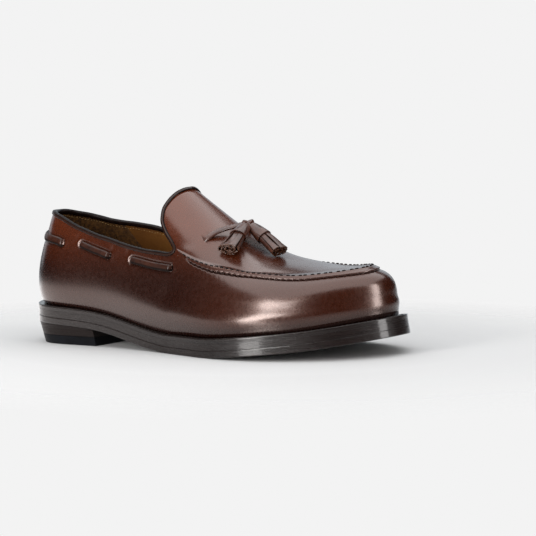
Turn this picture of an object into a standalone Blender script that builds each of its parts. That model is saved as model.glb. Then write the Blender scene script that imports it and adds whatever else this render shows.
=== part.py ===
"""Tassel loafer, right shoe, as separate closed solids in metres.

+X points to the toe, +Y to the inner (medial) side, +Z up. The origin is the middle of the heel's
resting face, on the floor. Inside the functions x starts at the back edge of the sole, and
add_mesh moves each solid to the origin.
"""
import math

import bmesh
import bpy
import numpy as np
from mathutils import Vector

COLLECTION = "tassel_loafer"

# Driving sizes of the last, metres
SOLE_LENGTH = 0.300
BALL_WIDTH = 0.108
INSTEP_HEIGHT = 0.093
HEEL_DROP = 0.0159
TOE_SPRING = 0.0136
FLAT_DEPTH = 0.0005

# Sole and heel, metres
WELT_THICK = 0.0030
MIDSOLE_THICK = 0.0042
OUTSOLE_THICK = 0.0046
WELT_WIDTH = 0.0120
WELT_MARGIN = 0.0056
MIDSOLE_INSET = 0.0005
OUTSOLE_INSET = 0.0002
HEEL_LENGTH = 0.0695
HEEL_TAPER = 0.0032
TOP_PIECE_THICK = 0.0062
LIFT_SHARE = 0.90
INSOLE_THICK = 0.0025

# Upper, binding and lace, metres
WALL = 0.0018
CLEARANCE = 0.0003
LASTING_MARGIN = 0.0085
SEAM_WIDTH = 0.0048
SEAM_HEIGHT = 0.0016
BINDING_DEPTH = 0.0024
BINDING_THICK = 0.0007
LACE_WIDTH = 0.0048
LACE_THICK = 0.0022
THONG_DIAMETER = 0.0038
THONG_LIFT = 0.0008
THONG_ARCH = 0.0014
KNOT_LENGTH = 0.0088
KNOT_WIDTH = 0.0078
CAP_LENGTH = 0.0115
CAP_NECK = 0.0058
CAP_MOUTH = 0.0112
FRINGE_LENGTH = 0.0160
FRINGE_SPREAD = 0.0148
FRINGE_FLATNESS = 0.46
STRIP_WIDTH = 0.0040
STRIP_THICK = 0.0011
STRIP_COUNT = 8

# How finely the solids are faceted
PLATE_STATIONS = 42
WELT_STATIONS = 68
COLUMNS_PER_STATION = 2
LOWER_ROWS = 8
UPPER_ROWS = 8

# Outline of the sole at the welt, from the middle of the heel round the outer side.
# Columns: length (share of SOLE_LENGTH), width (share of BALL_WIDTH, inner side positive)
OUTLINE = [
    (0.000, -0.005), (0.016, -0.165), (0.063, -0.285), (0.140, -0.318), (0.250, -0.315),
    (0.367, -0.335), (0.483, -0.385), (0.583, -0.445), (0.667, -0.476), (0.750, -0.462),
    (0.833, -0.393), (0.907, -0.285), (0.966, -0.130), (0.998, 0.060), (0.981, 0.230),
    (0.934, 0.370), (0.860, 0.465), (0.773, 0.513), (0.683, 0.500), (0.593, 0.425),
    (0.500, 0.330), (0.400, 0.272), (0.300, 0.268), (0.200, 0.296), (0.117, 0.305),
    (0.050, 0.255), (0.013, 0.145),
]

# Rise of the sole above its flat spot at the ball.
# Columns: length (share), heel rise (share of HEEL_DROP), toe rise (share of TOE_SPRING)
RISE = [
    (0.000, 1.000, 0.000), (0.133, 0.900, 0.000), (0.267, 0.690, 0.000), (0.367, 0.330, 0.000),
    (0.467, 0.050, 0.000), (0.567, 0.000, 0.000), (0.667, 0.000, 0.130), (0.767, 0.000, 0.325),
    (0.867, 0.000, 0.545), (1.000, 0.000, 1.000),
]

# Inset of the upper's foot from the edge of the welt.
# Columns: length (share), inset (share of WELT_MARGIN)
FOOT_INSET = [
    (0.00, 0.76), (0.15, 0.72), (0.35, 0.54), (0.50, 0.71), (0.65, 0.98), (0.85, 1.00),
    (1.00, 1.00),
]

# Sections of the last.
# Columns: length (share), ridge height above the welt (share of INSTEP_HEIGHT), roundness in
# plan, roundness in height, outer bulge and inner bulge (share of BALL_WIDTH), height of the
# fullest place of the bulge (share of INSTEP_HEIGHT)
SECTIONS = [
    (0.00, 0.955, 2.40, 1.41, 0.047, 0.047, 0.233),
    (0.10, 0.998, 2.37, 1.54, 0.036, 0.037, 0.228),
    (0.25, 1.129, 2.34, 1.74, 0.029, 0.044, 0.218),
    (0.33, 1.137, 2.33, 1.86, 0.028, 0.049, 0.210),
    (0.41, 1.063, 2.35, 2.03, 0.028, 0.054, 0.190),
    (0.48, 0.937, 2.39, 2.20, 0.027, 0.053, 0.168),
    (0.55, 0.773, 2.45, 2.40, 0.023, 0.040, 0.148),
    (0.62, 0.627, 2.53, 2.60, 0.019, 0.026, 0.130),
    (0.69, 0.512, 2.62, 2.80, 0.017, 0.020, 0.115),
    (0.76, 0.448, 2.73, 3.10, 0.015, 0.015, 0.102),
    (0.84, 0.412, 2.88, 3.55, 0.013, 0.013, 0.094),
    (0.92, 0.415, 2.95, 4.50, 0.010, 0.010, 0.090),
    (1.00, 0.410, 3.00, 5.20, 0.008, 0.008, 0.086),
]

# The last's spine, which the ribs of the upper spring from. Shares of length and ball width
SPINE_HEEL = (0.132, 0.000)
SPINE_BALL = (0.690, 0.022)

# Lines of the upper from the back of the heel to the toe. A place on the last is a key and a
# climb. The key runs from -0.25 at the back of the heel to 0 and 1 at the spine's ends and 1.25
# at the toe. The climb runs from 0 at the foot to 1 at the ridge, measured along the leather.
# Columns: foot key, seam key, seam climb, topline key, topline climb, inner topline climb,
# seam height (share of SEAM_HEIGHT)
LINES = [
    (-0.250, -0.250, 0.360, -0.250, 0.611, 0.611, 0.0),
    (-0.140, -0.140, 0.360, -0.150, 0.617, 0.583, 0.0),
    (-0.020, -0.020, 0.345, -0.040, 0.594, 0.549, 0.0),
    (0.100, 0.100, 0.310, 0.090, 0.507, 0.507, 0.0),
    (0.220, 0.220, 0.285, 0.220, 0.450, 0.489, 0.0),
    (0.350, 0.345, 0.275, 0.345, 0.436, 0.487, 0.0),
    (0.470, 0.460, 0.290, 0.455, 0.450, 0.492, 0.0),
    (0.580, 0.560, 0.340, 0.550, 0.482, 0.505, 0.0),
    (0.675, 0.630, 0.445, 0.612, 0.508, 0.522, 0.0),
    (0.765, 0.690, 0.541, 0.634, 0.544, 0.550, 0.3),
    (0.855, 0.760, 0.530, 0.612, 0.578, 0.580, 1.0),
    (0.940, 0.840, 0.528, 0.572, 0.618, 0.618, 1.0),
    (1.020, 0.920, 0.538, 0.542, 0.676, 0.676, 1.0),
    (1.080, 1.000, 0.541, 0.537, 0.736, 0.736, 1.0),
    (1.125, 1.060, 0.520, 0.546, 0.804, 0.804, 1.0),
    (1.165, 1.115, 0.474, 0.557, 0.872, 0.872, 1.0),
    (1.210, 1.175, 0.404, 0.565, 0.937, 0.937, 1.0),
    (1.250, 1.250, 0.322, 0.568, 1.000, 1.000, 1.0),
]

# Straps of the lace that show between two slots.
# Columns: name, width (share of LACE_WIDTH), sides and places (side, key, climb), back to front
LACE_BARS = [
    ("lace_bar_heel", 1.18, [(-1, 0.010, 0.415), (-1, -0.085, 0.440), (-1, -0.250, 0.455),
                             (1, -0.085, 0.440), (1, 0.010, 0.415)]),
    ("lace_bar_outer_rear", 1.00, [(-1, 0.103, 0.406), (-1, 0.193, 0.366), (-1, 0.281, 0.344)]),
    ("lace_bar_outer_front", 1.00, [(-1, 0.396, 0.366), (-1, 0.512, 0.387), (-1, 0.639, 0.426)]),
    ("lace_bar_inner_rear", 1.00, [(1, 0.103, 0.406), (1, 0.193, 0.366), (1, 0.281, 0.344)]),
    ("lace_bar_inner_front", 1.00, [(1, 0.396, 0.366), (1, 0.512, 0.387), (1, 0.639, 0.426)]),
]

# Front slots of the lace, as side, key and climb
FRONT_SLOTS = [(-1, 0.765, 0.709), (1, 0.765, 0.709)]

# Middle of the knot above the ridge of the last: share of SOLE_LENGTH, share of BALL_WIDTH
KNOT_PLACE = (0.613, 0.020)
KNOT_RISE = 0.0108
# Directions of the tassels, outer and inner, as x, y and z
TASSEL_DIRECTIONS = {
    "tassel_outer": (0.18, -0.86, -0.43),
    "tassel_inner": (0.83, 0.00, -0.56),
}

# Colours from the shoe: name, colour, roughness
MATERIALS = {
    "calf_leather": ((0.085, 0.028, 0.017, 1.0), 0.32),
    "binding_leather": ((0.012, 0.006, 0.005, 1.0), 0.40),
    "lace_leather": ((0.045, 0.016, 0.010, 1.0), 0.45),
    "lining_leather": ((0.330, 0.160, 0.045, 1.0), 0.60),
    "sole_leather": ((0.020, 0.012, 0.010, 1.0), 0.50),
    "heel_rubber": ((0.012, 0.013, 0.016, 1.0), 0.70),
}


class Spline:
    """Natural or closed cubic spline through rows of (place, value, value, ...)."""

    def __init__(self, places, values, closed=False):
        self.x = np.asarray(places, float)
        self.y = np.asarray(values, float).reshape(len(self.x), -1)
        step = np.diff(self.x)
        slope = np.diff(self.y, axis=0) / step[:, None]
        last = len(self.x) - 1
        if closed:
            matrix = np.zeros((last, last))
            right = np.zeros((last, self.y.shape[1]))
            for i in range(last):
                matrix[i, i - 1] += step[i - 1]
                matrix[i, i] += 2.0 * (step[i - 1] + step[i])
                matrix[i, (i + 1) % last] += step[i]
                right[i] = 6.0 * (slope[i] - slope[i - 1])
            bend = np.linalg.solve(matrix, right)
            self.bend = np.vstack([bend, bend[:1]])
        else:
            matrix = np.eye(last + 1)
            right = np.zeros((last + 1, self.y.shape[1]))
            for i in range(1, last):
                matrix[i, i - 1:i + 2] = step[i - 1], 2.0 * (step[i - 1] + step[i]), step[i]
                right[i] = 6.0 * (slope[i] - slope[i - 1])
            self.bend = np.linalg.solve(matrix, right)

    def __call__(self, place):
        place = np.clip(np.asarray(place, float), self.x[0], self.x[-1])
        i = np.clip(np.searchsorted(self.x, place, side="right") - 1, 0, len(self.x) - 2)
        step = (self.x[i + 1] - self.x[i])[..., None]
        a = (self.x[i + 1] - place)[..., None] / step
        b = 1.0 - a
        curved = (a ** 3 - a) * self.bend[i] + (b ** 3 - b) * self.bend[i + 1]
        return a * self.y[i] + b * self.y[i + 1] + curved * step * step / 6.0


class Table:
    """Columns of a table, each read at any place as a curve that never overshoots its rows."""

    def __init__(self, rows, places=None):
        data = np.array(rows, float)
        self.x = data[:, 0] if places is None else np.asarray(places, float)
        self.y = data[:, 1:] if places is None else data
        step = np.diff(self.x)[:, None]
        slope = np.diff(self.y, axis=0) / step
        tangent = np.zeros_like(self.y)
        tangent[0], tangent[-1] = slope[0], slope[-1]
        before, after = slope[:-1], slope[1:]
        same = before * after > 0.0
        w1 = 2.0 * step[1:] + step[:-1]
        w2 = step[1:] + 2.0 * step[:-1]
        safe_before = np.where(same, before, 1.0)
        safe_after = np.where(same, after, 1.0)
        tangent[1:-1] = np.where(same, (w1 + w2) / (w1 / safe_before + w2 / safe_after), 0.0)
        self.tangent = tangent

    def __call__(self, place):
        place = np.clip(np.asarray(place, float), self.x[0], self.x[-1])
        i = np.clip(np.searchsorted(self.x, place, side="right") - 1, 0, len(self.x) - 2)
        step = (self.x[i + 1] - self.x[i])[..., None]
        t = (place - self.x[i])[..., None] / step
        rise = self.y[i + 1] - self.y[i]
        h = t * t * (3.0 - 2.0 * t)
        bend = (t * (1.0 - t) ** 2) * self.tangent[i] - (t * t * (1.0 - t)) * self.tangent[i + 1]
        return self.y[i] + rise * h + bend * step


def smooth_loop(rows, count):
    """Closed plan curve through the rows, as evenly spaced points."""
    points = np.array(rows, float) * (SOLE_LENGTH, BALL_WIDTH)
    points = np.vstack([points, points[:1]])
    chord = np.sqrt(np.linalg.norm(np.diff(points, axis=0), axis=1))
    place = np.concatenate([[0.0], np.cumsum(chord)])
    curve = Spline(place, points, closed=True)
    fine = curve(np.linspace(0.0, place[-1], 4 * count + 1))
    run = np.concatenate([[0.0], np.cumsum(np.linalg.norm(np.diff(fine, axis=0), axis=1))])
    even = np.linspace(0.0, run[-1], count, endpoint=False)
    return np.column_stack([np.interp(even, run, fine[:, 0]), np.interp(even, run, fine[:, 1])])


def inset_loop(loop, amount):
    """The loop moved inwards by a distance, or by one distance for each point."""
    along = np.roll(loop, -1, 0) - np.roll(loop, 1, 0)
    along /= np.linalg.norm(along, axis=1)[:, None]
    inwards = np.column_stack([-along[:, 1], along[:, 0]])
    return loop + inwards * np.broadcast_to(amount, len(loop))[:, None]


SOLE_EDGE = smooth_loop(OUTLINE, 1440)
STACK = WELT_THICK + MIDSOLE_THICK + OUTSOLE_THICK + 2.0 * CLEARANCE
_rise = Spline([r[0] for r in RISE], [r[1:] for r in RISE])
_section = Spline([r[0] for r in SECTIONS], [r[1:] for r in SECTIONS])
_foot_inset = Table(FOOT_INSET)


def welt_top(x):
    """Height of the welt's top above the floor."""
    share = _rise(np.asarray(x, float) / SOLE_LENGTH)
    rise = share[..., 0] * HEEL_DROP + share[..., 1] * TOE_SPRING
    return STACK + np.maximum(0.0, rise - FLAT_DEPTH)


def welt_slope(x):
    step = 0.0005
    return (welt_top(x + step) - welt_top(x - step)) / (2.0 * step)


def below(x, depth):
    """Place and height, on the normal of the welt's top, of a point this deep in the sole."""
    slope = welt_slope(x)
    length = np.sqrt(1.0 + slope * slope)
    return x + slope / length * depth, welt_top(x) - depth / length


FOOT = inset_loop(SOLE_EDGE, _foot_inset(SOLE_EDGE[:, 0] / SOLE_LENGTH)[:, 0] * WELT_MARGIN)
SPINE_A = np.array(SPINE_HEEL) * (SOLE_LENGTH, BALL_WIDTH)
SPINE_B = np.array(SPINE_BALL) * (SOLE_LENGTH, BALL_WIDTH)
SPINE_LENGTH = float(np.linalg.norm(SPINE_B - SPINE_A))
FORWARD = (SPINE_B - SPINE_A) / SPINE_LENGTH
INWARD = np.array([-FORWARD[1], FORWARD[0]])


def rib_at(key, side):
    """Plan point on the spine and unit direction of the rib with this key."""
    key, side = np.broadcast_arrays(np.asarray(key, float), np.asarray(side, float))
    heel_angle = np.clip(-key, 0.0, None) * 2.0 * math.pi
    toe_angle = np.clip(key - 1.0, 0.0, None) * 2.0 * math.pi
    along = np.sin(toe_angle) - np.sin(heel_angle)
    across = side * np.cos(toe_angle + heel_angle)
    start = SPINE_A + (np.clip(key, 0.0, 1.0) * SPINE_LENGTH)[..., None] * FORWARD
    return start, along[..., None] * FORWARD + across[..., None] * INWARD


def key_of(point):
    """Key, side and distance from the spine of a plan or pattern point."""
    along = (point - SPINE_A) @ FORWARD
    across = (point - SPINE_A) @ INWARD
    past = along - SPINE_LENGTH
    side = np.where(across >= 0.0, 1.0, -1.0)
    turn = 2.0 * math.pi
    heel = -np.arctan2(-along, np.abs(across)) / turn
    toe = 1.0 + np.arctan2(past, np.abs(across)) / turn
    key = np.where(along < 0.0, heel, np.where(past > 0.0, toe, along / SPINE_LENGTH))
    aside = np.where(along < 0.0, np.hypot(along, across),
                     np.where(past > 0.0, np.hypot(past, across), np.abs(across)))
    return key, side, aside


def side_table(values, keys, sides, side):
    """Sorted keys and values of one side, to interpolate in."""
    mine = sides == side
    order = np.argsort(keys[mine])
    return keys[mine][order], values[mine][order]


_foot_key, _foot_side, _foot_reach = key_of(FOOT)
REACH = {s: side_table(_foot_reach, _foot_key, _foot_side, s) for s in (-1.0, 1.0)}


def by_side(tables, key, side):
    return np.where(side > 0, np.interp(key, *tables[1.0]), np.interp(key, *tables[-1.0]))


def last_point(key, side, turn):
    """Point on the last: turn 0 at the foot and 1 at the ridge."""
    key, side, turn = np.broadcast_arrays(key, side, turn)
    start, outward = rib_at(key, side)
    reach = by_side(REACH, key, side)
    share = np.clip((start + outward * reach[..., None])[..., 0] / SOLE_LENGTH, 0.0, 1.0)
    _, plan, height, outer, inner, full_at = np.moveaxis(_section(share), -1, 0)
    angle = turn * (0.5 * math.pi)
    plan_xy = start + outward * (reach * np.cos(angle) ** (2.0 / plan))[..., None]
    x = plan_xy[..., 0]
    tall = _section(np.clip(x / SOLE_LENGTH, 0.0, 1.0))[..., 0] * INSTEP_HEIGHT
    # The bulge is nothing at the foot and at the ridge, and fullest at the section's height
    full = np.arcsin(np.clip(full_at * INSTEP_HEIGHT / tall, 0.05, 0.9) ** (0.5 * height))
    power = 1.0 / np.tan(full) ** 2
    swell = np.sin(angle) * np.cos(angle) ** power / (np.sin(full) * np.cos(full) ** power)
    mean = 0.5 * (outer + inner)
    across = np.abs(outward @ INWARD)
    bulge = mean + (np.where(side > 0, inner, outer) - mean) * across
    plan_xy = plan_xy + outward * (bulge * BALL_WIDTH * swell)[..., None]
    z = welt_top(plan_xy[..., 0]) + CLEARANCE + tall * np.sin(angle) ** (2.0 / height)
    return np.concatenate([plan_xy, z[..., None]], -1)


TURNS = np.linspace(0.0, 1.0, 41) ** 1.35
RIB_KEYS = np.linspace(-0.25, 1.25, 121)


def rib_tables(side):
    """For one side, the length of each rib and its share climbed at each of the turns."""
    ribs = last_point(RIB_KEYS[:, None], side, TURNS[None, :])
    run = np.cumsum(np.linalg.norm(np.diff(ribs, axis=1), axis=2), axis=1)
    run = np.column_stack([np.zeros(len(RIB_KEYS)), run])
    return run[:, -1], run / run[:, -1:]


RIBS = {s: rib_tables(s) for s in (-1.0, 1.0)}


def rib_length(key, side):
    return by_side({s: (RIB_KEYS, RIBS[s][0]) for s in RIBS}, key, side)


def turn_at(key, side, climb):
    """The turn at which a rib has climbed this share of its length."""
    result = np.empty(np.shape(key))
    spot = np.clip((key - RIB_KEYS[0]) / (RIB_KEYS[1] - RIB_KEYS[0]), 0, len(RIB_KEYS) - 1.001)
    low = spot.astype(int)
    part = (spot - low)[..., None]
    for s in RIBS:
        mine = side == s
        if not mine.any():
            continue
        shares = RIBS[s][1]
        row = shares[low[mine]] * (1.0 - part[mine]) + shares[low[mine] + 1] * part[mine]
        goal = climb[mine][..., None]
        step = np.clip((row <= goal).sum(-1) - 1, 0, len(TURNS) - 2)
        here = np.take_along_axis(row, step[..., None], -1)[..., 0]
        there = np.take_along_axis(row, step[..., None] + 1, -1)[..., 0]
        blend = np.clip((climb[mine] - here) / (there - here), 0.0, 1.0)
        result[mine] = TURNS[step] + blend * (TURNS[step + 1] - TURNS[step])
    return result


def pattern_point(key, side, climb):
    """Flat pattern of the upper: the ribs laid out straight from the spine."""
    key, side, climb = np.broadcast_arrays(*(np.asarray(v, float) for v in (key, side, climb)))
    start, outward = rib_at(key, side)
    return start + outward * (rib_length(key, side) * (1.0 - climb))[..., None]


def from_pattern(point):
    """Point on the last of a point of the flat pattern."""
    key, side, aside = key_of(point)
    climb = np.clip(1.0 - aside / rib_length(key, side), 0.0, 1.0)
    return last_point(key, side, turn_at(key, side, climb))


def on_last(key, side, climb):
    return from_pattern(pattern_point(key, side, climb))


def normal_at(point):
    """Outward unit normal of the last at a pattern point."""
    step = 0.0004
    ahead = from_pattern(point + (step, 0.0)) - from_pattern(point - (step, 0.0))
    aside = from_pattern(point + (0.0, step)) - from_pattern(point - (0.0, step))
    normal = np.cross(ahead, aside)
    return normal / np.linalg.norm(normal, axis=-1, keepdims=True)


def pattern_lines(per_station):
    """Foot, seam and topline of the whole upper as closed pattern curves, and seam height."""
    spans = len(LINES) - 1
    place = np.linspace(0.0, spans, spans * per_station + 1)
    # A mirrored row past each end keeps the lines smooth across the back and the toe
    before, after = np.array(LINES[1]), np.array(LINES[-2])
    keys = [0, 1, 3]
    before[keys] = 2.0 * np.array(LINES[0])[keys] - before[keys]
    after[keys[:2]] = 2.0 * np.array(LINES[-1])[keys[:2]] - after[keys[:2]]
    table = Table([before, *LINES, after], np.arange(-1, spans + 2))(place)
    parts = []
    for side, keep, order in ((-1.0, slice(None), slice(None)), (1.0, slice(1, -1), slice(None, None, -1))):
        foot, seam_key, seam_climb, top_key, outer_top, inner_top, lift = table[keep][order].T
        top_climb = inner_top if side > 0 else outer_top
        parts.append((pattern_point(foot, side, 0.0 * foot), pattern_point(seam_key, side, seam_climb),
                      pattern_point(top_key, side, top_climb), lift))
    return [np.concatenate(pair) for pair in zip(*parts)]


def upper_grid(per_station, lower_rows, upper_rows):
    """Outer face of the upper as rows from the turned-in margin up to the topline."""
    foot, seam, top, lift = pattern_lines(per_station)
    down = foot - seam
    down_length = np.linalg.norm(down, axis=1)[:, None]
    up = top - seam
    up_length = np.linalg.norm(up, axis=1)[:, None]
    half = 0.5 * SEAM_WIDTH
    rows = []
    for i in range(lower_rows):
        share = (i / lower_rows) ** 1.25
        rows.append(from_pattern(foot - down * (share * (1.0 - half / down_length))))
    for offset, height in ((-1.0, 0.0), (-0.5, 0.85), (0.45, 1.0), (1.0, 0.0)):
        away = half * offset
        point = seam + (up / up_length if away > 0 else -down / down_length) * away
        rows.append(from_pattern(point) + normal_at(point) * (lift * height * SEAM_HEIGHT)[:, None])
    for i in range(1, upper_rows + 1):
        share = i / upper_rows
        reach = half / up_length
        rows.append(from_pattern(seam + up * (reach + (1.0 - reach) * share)))
    ground = rows[0]
    margin = inset_loop(ground[:, :2], LASTING_MARGIN)
    margin = np.column_stack([margin, welt_top(margin[:, 0]) + CLEARANCE])
    return np.array([margin] + rows)


def make_material(name):
    colour, roughness = MATERIALS[name]
    material = bpy.data.materials.new(name)
    material.use_nodes = True
    shader = material.node_tree.nodes["Principled BSDF"]
    shader.inputs["Base Color"].default_value = colour
    shader.inputs["Roughness"].default_value = roughness
    shader.inputs["Metallic"].default_value = 0.0
    material.diffuse_color = colour
    return material


def add_mesh(name, points, faces, material, smooth=False):
    """New object from points that are measured from the back of the sole."""
    mesh = bpy.data.meshes.new(name)
    moved = np.asarray(points, float).reshape(-1, 3) - (heel_middle(), 0.0, 0.0)
    mesh.from_pydata([tuple(p) for p in moved], [], faces)
    shape = bmesh.new()
    shape.from_mesh(mesh)
    bmesh.ops.recalc_face_normals(shape, faces=shape.faces)
    shape.to_mesh(mesh)
    shape.free()
    if smooth:
        mesh.shade_smooth()
    part = bpy.data.objects.new(name, mesh)
    part.data.materials.append(bpy.data.materials[material])
    bpy.data.collections[COLLECTION].objects.link(part)
    return part


def heel_middle():
    return 0.5 * HEEL_LENGTH


def loft(sections, closed_ends=True, ring=False):
    """Faces between equal sections, each a closed run of points."""
    count, size = len(sections), len(sections[0])
    faces = []
    for i in range(count if ring else count - 1):
        for j in range(size):
            a, b = i * size + j, i * size + (j + 1) % size
            c, d = ((i + 1) % count) * size + (j + 1) % size, ((i + 1) % count) * size + j
            faces.append((a, b, c, d))
    if closed_ends and not ring:
        faces.append(tuple(range(size))[::-1])
        faces.append(tuple((count - 1) * size + j for j in range(size)))
    return faces


def widths(loop, stations):
    """Outer and inner y of a plan loop at each station."""
    heel, toe = loop[:, 0].argmin(), loop[:, 0].argmax()
    turned = np.roll(loop, -heel, 0)
    split = (toe - heel) % len(loop)
    outer, inner = turned[:split + 1], np.vstack([turned[split:], turned[:1]])[::-1]
    return (np.interp(stations, outer[:, 0], outer[:, 1]),
            np.interp(stations, inner[:, 0], inner[:, 1]))


def station_spread(start, stop, count, end_share=0.0025):
    """Stations that crowd towards both ends, just short of the ends themselves."""
    length = stop - start
    turn = np.linspace(0.0, math.pi, count)
    share = end_share + (1.0 - 2.0 * end_share) * 0.5 * (1.0 - np.cos(turn))
    return start + length * share


def sole_layer(name, loop, top_depth, bottom_depth, material):
    """Plate of the sole between two depths under the welt's top."""
    stations = station_spread(loop[:, 0].min(), loop[:, 0].max(), PLATE_STATIONS)
    outer, inner = widths(loop, stations)
    top_x, top_z = below(stations, top_depth)
    low_x, low_z = below(stations, bottom_depth)
    sections = np.stack([
        np.column_stack([top_x, outer, top_z]), np.column_stack([top_x, inner, top_z]),
        np.column_stack([low_x, inner, low_z]), np.column_stack([low_x, outer, low_z])], 1)
    return add_mesh(name, sections, loft(sections), material)


def add_welt():
    """Welt: a strip all round, flush with the sole's edge."""
    step = len(SOLE_EDGE) // WELT_STATIONS
    outside = SOLE_EDGE[::step]
    inside = inset_loop(SOLE_EDGE, WELT_WIDTH)[::step]
    corners = []
    for loop, depth in ((outside, 0.0), (inside, 0.0), (inside, WELT_THICK), (outside, WELT_THICK)):
        x, z = below(loop[:, 0], depth)
        corners.append(np.column_stack([x, loop[:, 1], z]))
    sections = np.stack(corners, 1)
    return add_mesh("welt", sections, loft(sections, ring=True), "sole_leather")


def add_sole():
    midsole_top = WELT_THICK + CLEARANCE
    midsole_low = midsole_top + MIDSOLE_THICK
    outsole_top = midsole_low + CLEARANCE
    sole_layer("midsole", inset_loop(SOLE_EDGE, MIDSOLE_INSET), midsole_top, midsole_low,
               "sole_leather")
    sole_layer("outsole", inset_loop(SOLE_EDGE, OUTSOLE_INSET), outsole_top, STACK, "sole_leather")


def outsole_underside(x):
    """Height of the outsole's underside at a place along the shoe."""
    stations = np.linspace(0.0, SOLE_LENGTH, 301)
    low_x, low_z = below(stations, STACK)
    return np.interp(x, low_x, low_z)


def add_heel():
    """Two leather lifts, the upper one a wedge, on a rubber top piece."""
    back_height = float(outsole_underside(0.0))
    top_piece = np.zeros(2), np.full(2, TOP_PIECE_THICK)
    lift_low = TOP_PIECE_THICK + CLEARANCE
    breast_height = float(outsole_underside(HEEL_LENGTH))
    lift_high = lift_low + LIFT_SHARE * (breast_height - lift_low - 2.0 * CLEARANCE)
    wedge_low = lift_high + CLEARANCE
    lift = np.full(2, lift_low), np.full(2, lift_high)
    for name, (low, high), material in (
            ("heel_top_piece", top_piece, "heel_rubber"), ("heel_lift_lower", lift, "sole_leather"),
            ("heel_lift_upper", (np.full(2, wedge_low), None), "sole_leather")):
        count = PLATE_STATIONS // 2
        sections = []
        for level, plane in (("high", high), ("low", low)):
            height = plane[0] if plane is not None else back_height
            inset = OUTSOLE_INSET + HEEL_TAPER * (1.0 - height / back_height)
            loop = inset_loop(SOLE_EDGE, inset)
            turn = np.linspace(0.0, 0.5 * math.pi, count)
            start = loop[:, 0].min()
            x = start + (HEEL_LENGTH - start) * (0.002 + 0.998 * (1.0 - np.cos(turn)))
            outer, inner = widths(loop, x)
            z = np.full(count, height) if plane is not None else outsole_underside(x) - CLEARANCE
            pair = [np.column_stack([x, outer, z]), np.column_stack([x, inner, z])]
            sections += pair if level == "high" else pair[::-1]
        sections = np.stack(sections, 1)
        add_mesh(name, sections, loft(sections), material)


def add_insole():
    """Board inside the upper, resting on its turned-in margin."""
    inset = WALL + 3.0 * CLEARANCE
    loop = inset_loop(FOOT, inset)
    stations = station_spread(loop[:, 0].min(), loop[:, 0].max(), PLATE_STATIONS)
    outer, inner = widths(loop, stations)
    low = -(2.0 * CLEARANCE + WALL)
    low_x, low_z = below(stations, low)
    top_x, top_z = below(stations, low - INSOLE_THICK)
    sections = np.stack([
        np.column_stack([top_x, outer, top_z]), np.column_stack([top_x, inner, top_z]),
        np.column_stack([low_x, inner, low_z]), np.column_stack([low_x, outer, low_z])], 1)
    return add_mesh("insole", sections, loft(sections), "lining_leather")


def add_upper():
    """One hollow wall over the last, turned in under it and open at collar and foot."""
    grid = upper_grid(COLUMNS_PER_STATION, LOWER_ROWS, UPPER_ROWS)
    rows, columns = grid.shape[:2]
    faces = [(i * columns + j, i * columns + (j + 1) % columns,
              (i + 1) * columns + (j + 1) % columns, (i + 1) * columns + j)
             for i in range(rows - 1) for j in range(columns)]
    part = add_mesh("upper", grid, faces, "calf_leather", smooth=True)
    solid = part.modifiers.new("wall", "SOLIDIFY")
    solid.thickness = WALL
    solid.offset = -1.0
    solid.use_even_offset = True
    solid.use_quality_normals = True
    return part


def add_binding():
    """Folded strip over the edge of the collar and tongue, clear of the wall it covers."""
    _, _, top, _ = pattern_lines(COLUMNS_PER_STATION)
    edge = from_pattern(top)
    normal = normal_at(top)
    tangent = np.roll(edge, -1, 0) - np.roll(edge, 1, 0)
    tangent /= np.linalg.norm(tangent, axis=1)[:, None]
    into = np.cross(tangent, normal)
    into /= np.linalg.norm(into, axis=1)[:, None]
    back = edge[0]
    if into[0, 2] > 0.0 and back[0] < SPINE_A[0]:
        into = -into
    outside = CLEARANCE + BINDING_THICK
    inside = -(WALL + CLEARANCE)
    profile = [
        (BINDING_DEPTH, CLEARANCE), (BINDING_DEPTH, outside), (-CLEARANCE, outside),
        (-outside, 0.5 * (outside + inside - BINDING_THICK)), (-CLEARANCE, inside - BINDING_THICK),
        (BINDING_DEPTH, inside - BINDING_THICK), (BINDING_DEPTH, inside), (-CLEARANCE, inside),
        (-CLEARANCE, CLEARANCE)]
    sections = np.stack([edge + into * depth + normal * rise for depth, rise in profile], 1)
    return add_mesh("topline_binding", sections, loft(sections, ring=True), "binding_leather",
                    smooth=True)


def surface_path(places, count):
    """Pattern points along a route on the last that may cross from side to side at the back."""
    rows = []
    for side, key, climb in places:
        point = pattern_point(key, side, climb)
        rows.append(point)
    rows = np.array(rows)
    run = np.concatenate([[0.0], np.cumsum(np.linalg.norm(np.diff(rows, axis=0), axis=1))])
    return Spline(run / run[-1], rows)(np.linspace(0.0, 1.0, count))


def add_lace_bar(name, width, places):
    """Flat rounded strap lying on the upper, its ends tapering towards the slots."""
    count = 9 if len(places) == 3 else 19
    path = surface_path(places, count)
    centre = from_pattern(path)
    normal = normal_at(path)
    tangent = np.gradient(centre, axis=0)
    tangent /= np.linalg.norm(tangent, axis=1)[:, None]
    across = np.cross(normal, tangent)
    across /= np.linalg.norm(across, axis=1)[:, None]
    share = np.linspace(0.0, 1.0, count)
    end = np.minimum(share, 1.0 - share) * (count - 1)
    full = np.clip(0.55 + 0.45 * end, 0.0, 1.0)
    half = 0.5 * LACE_WIDTH * width
    base = 2.0 * CLEARANCE
    profile = [(-0.80, 0.0), (-1.0, 0.45), (-0.62, 0.90), (0.0, 1.0), (0.62, 0.90), (1.0, 0.45),
               (0.80, 0.0), (0.0, 0.0)]
    sections = np.stack([
        centre + across * (wide * half * full)[:, None]
        + normal * (base + high * LACE_THICK * full)[:, None] for wide, high in profile], 1)
    return add_mesh(name, sections, loft(sections), "lace_leather", smooth=True)


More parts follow.
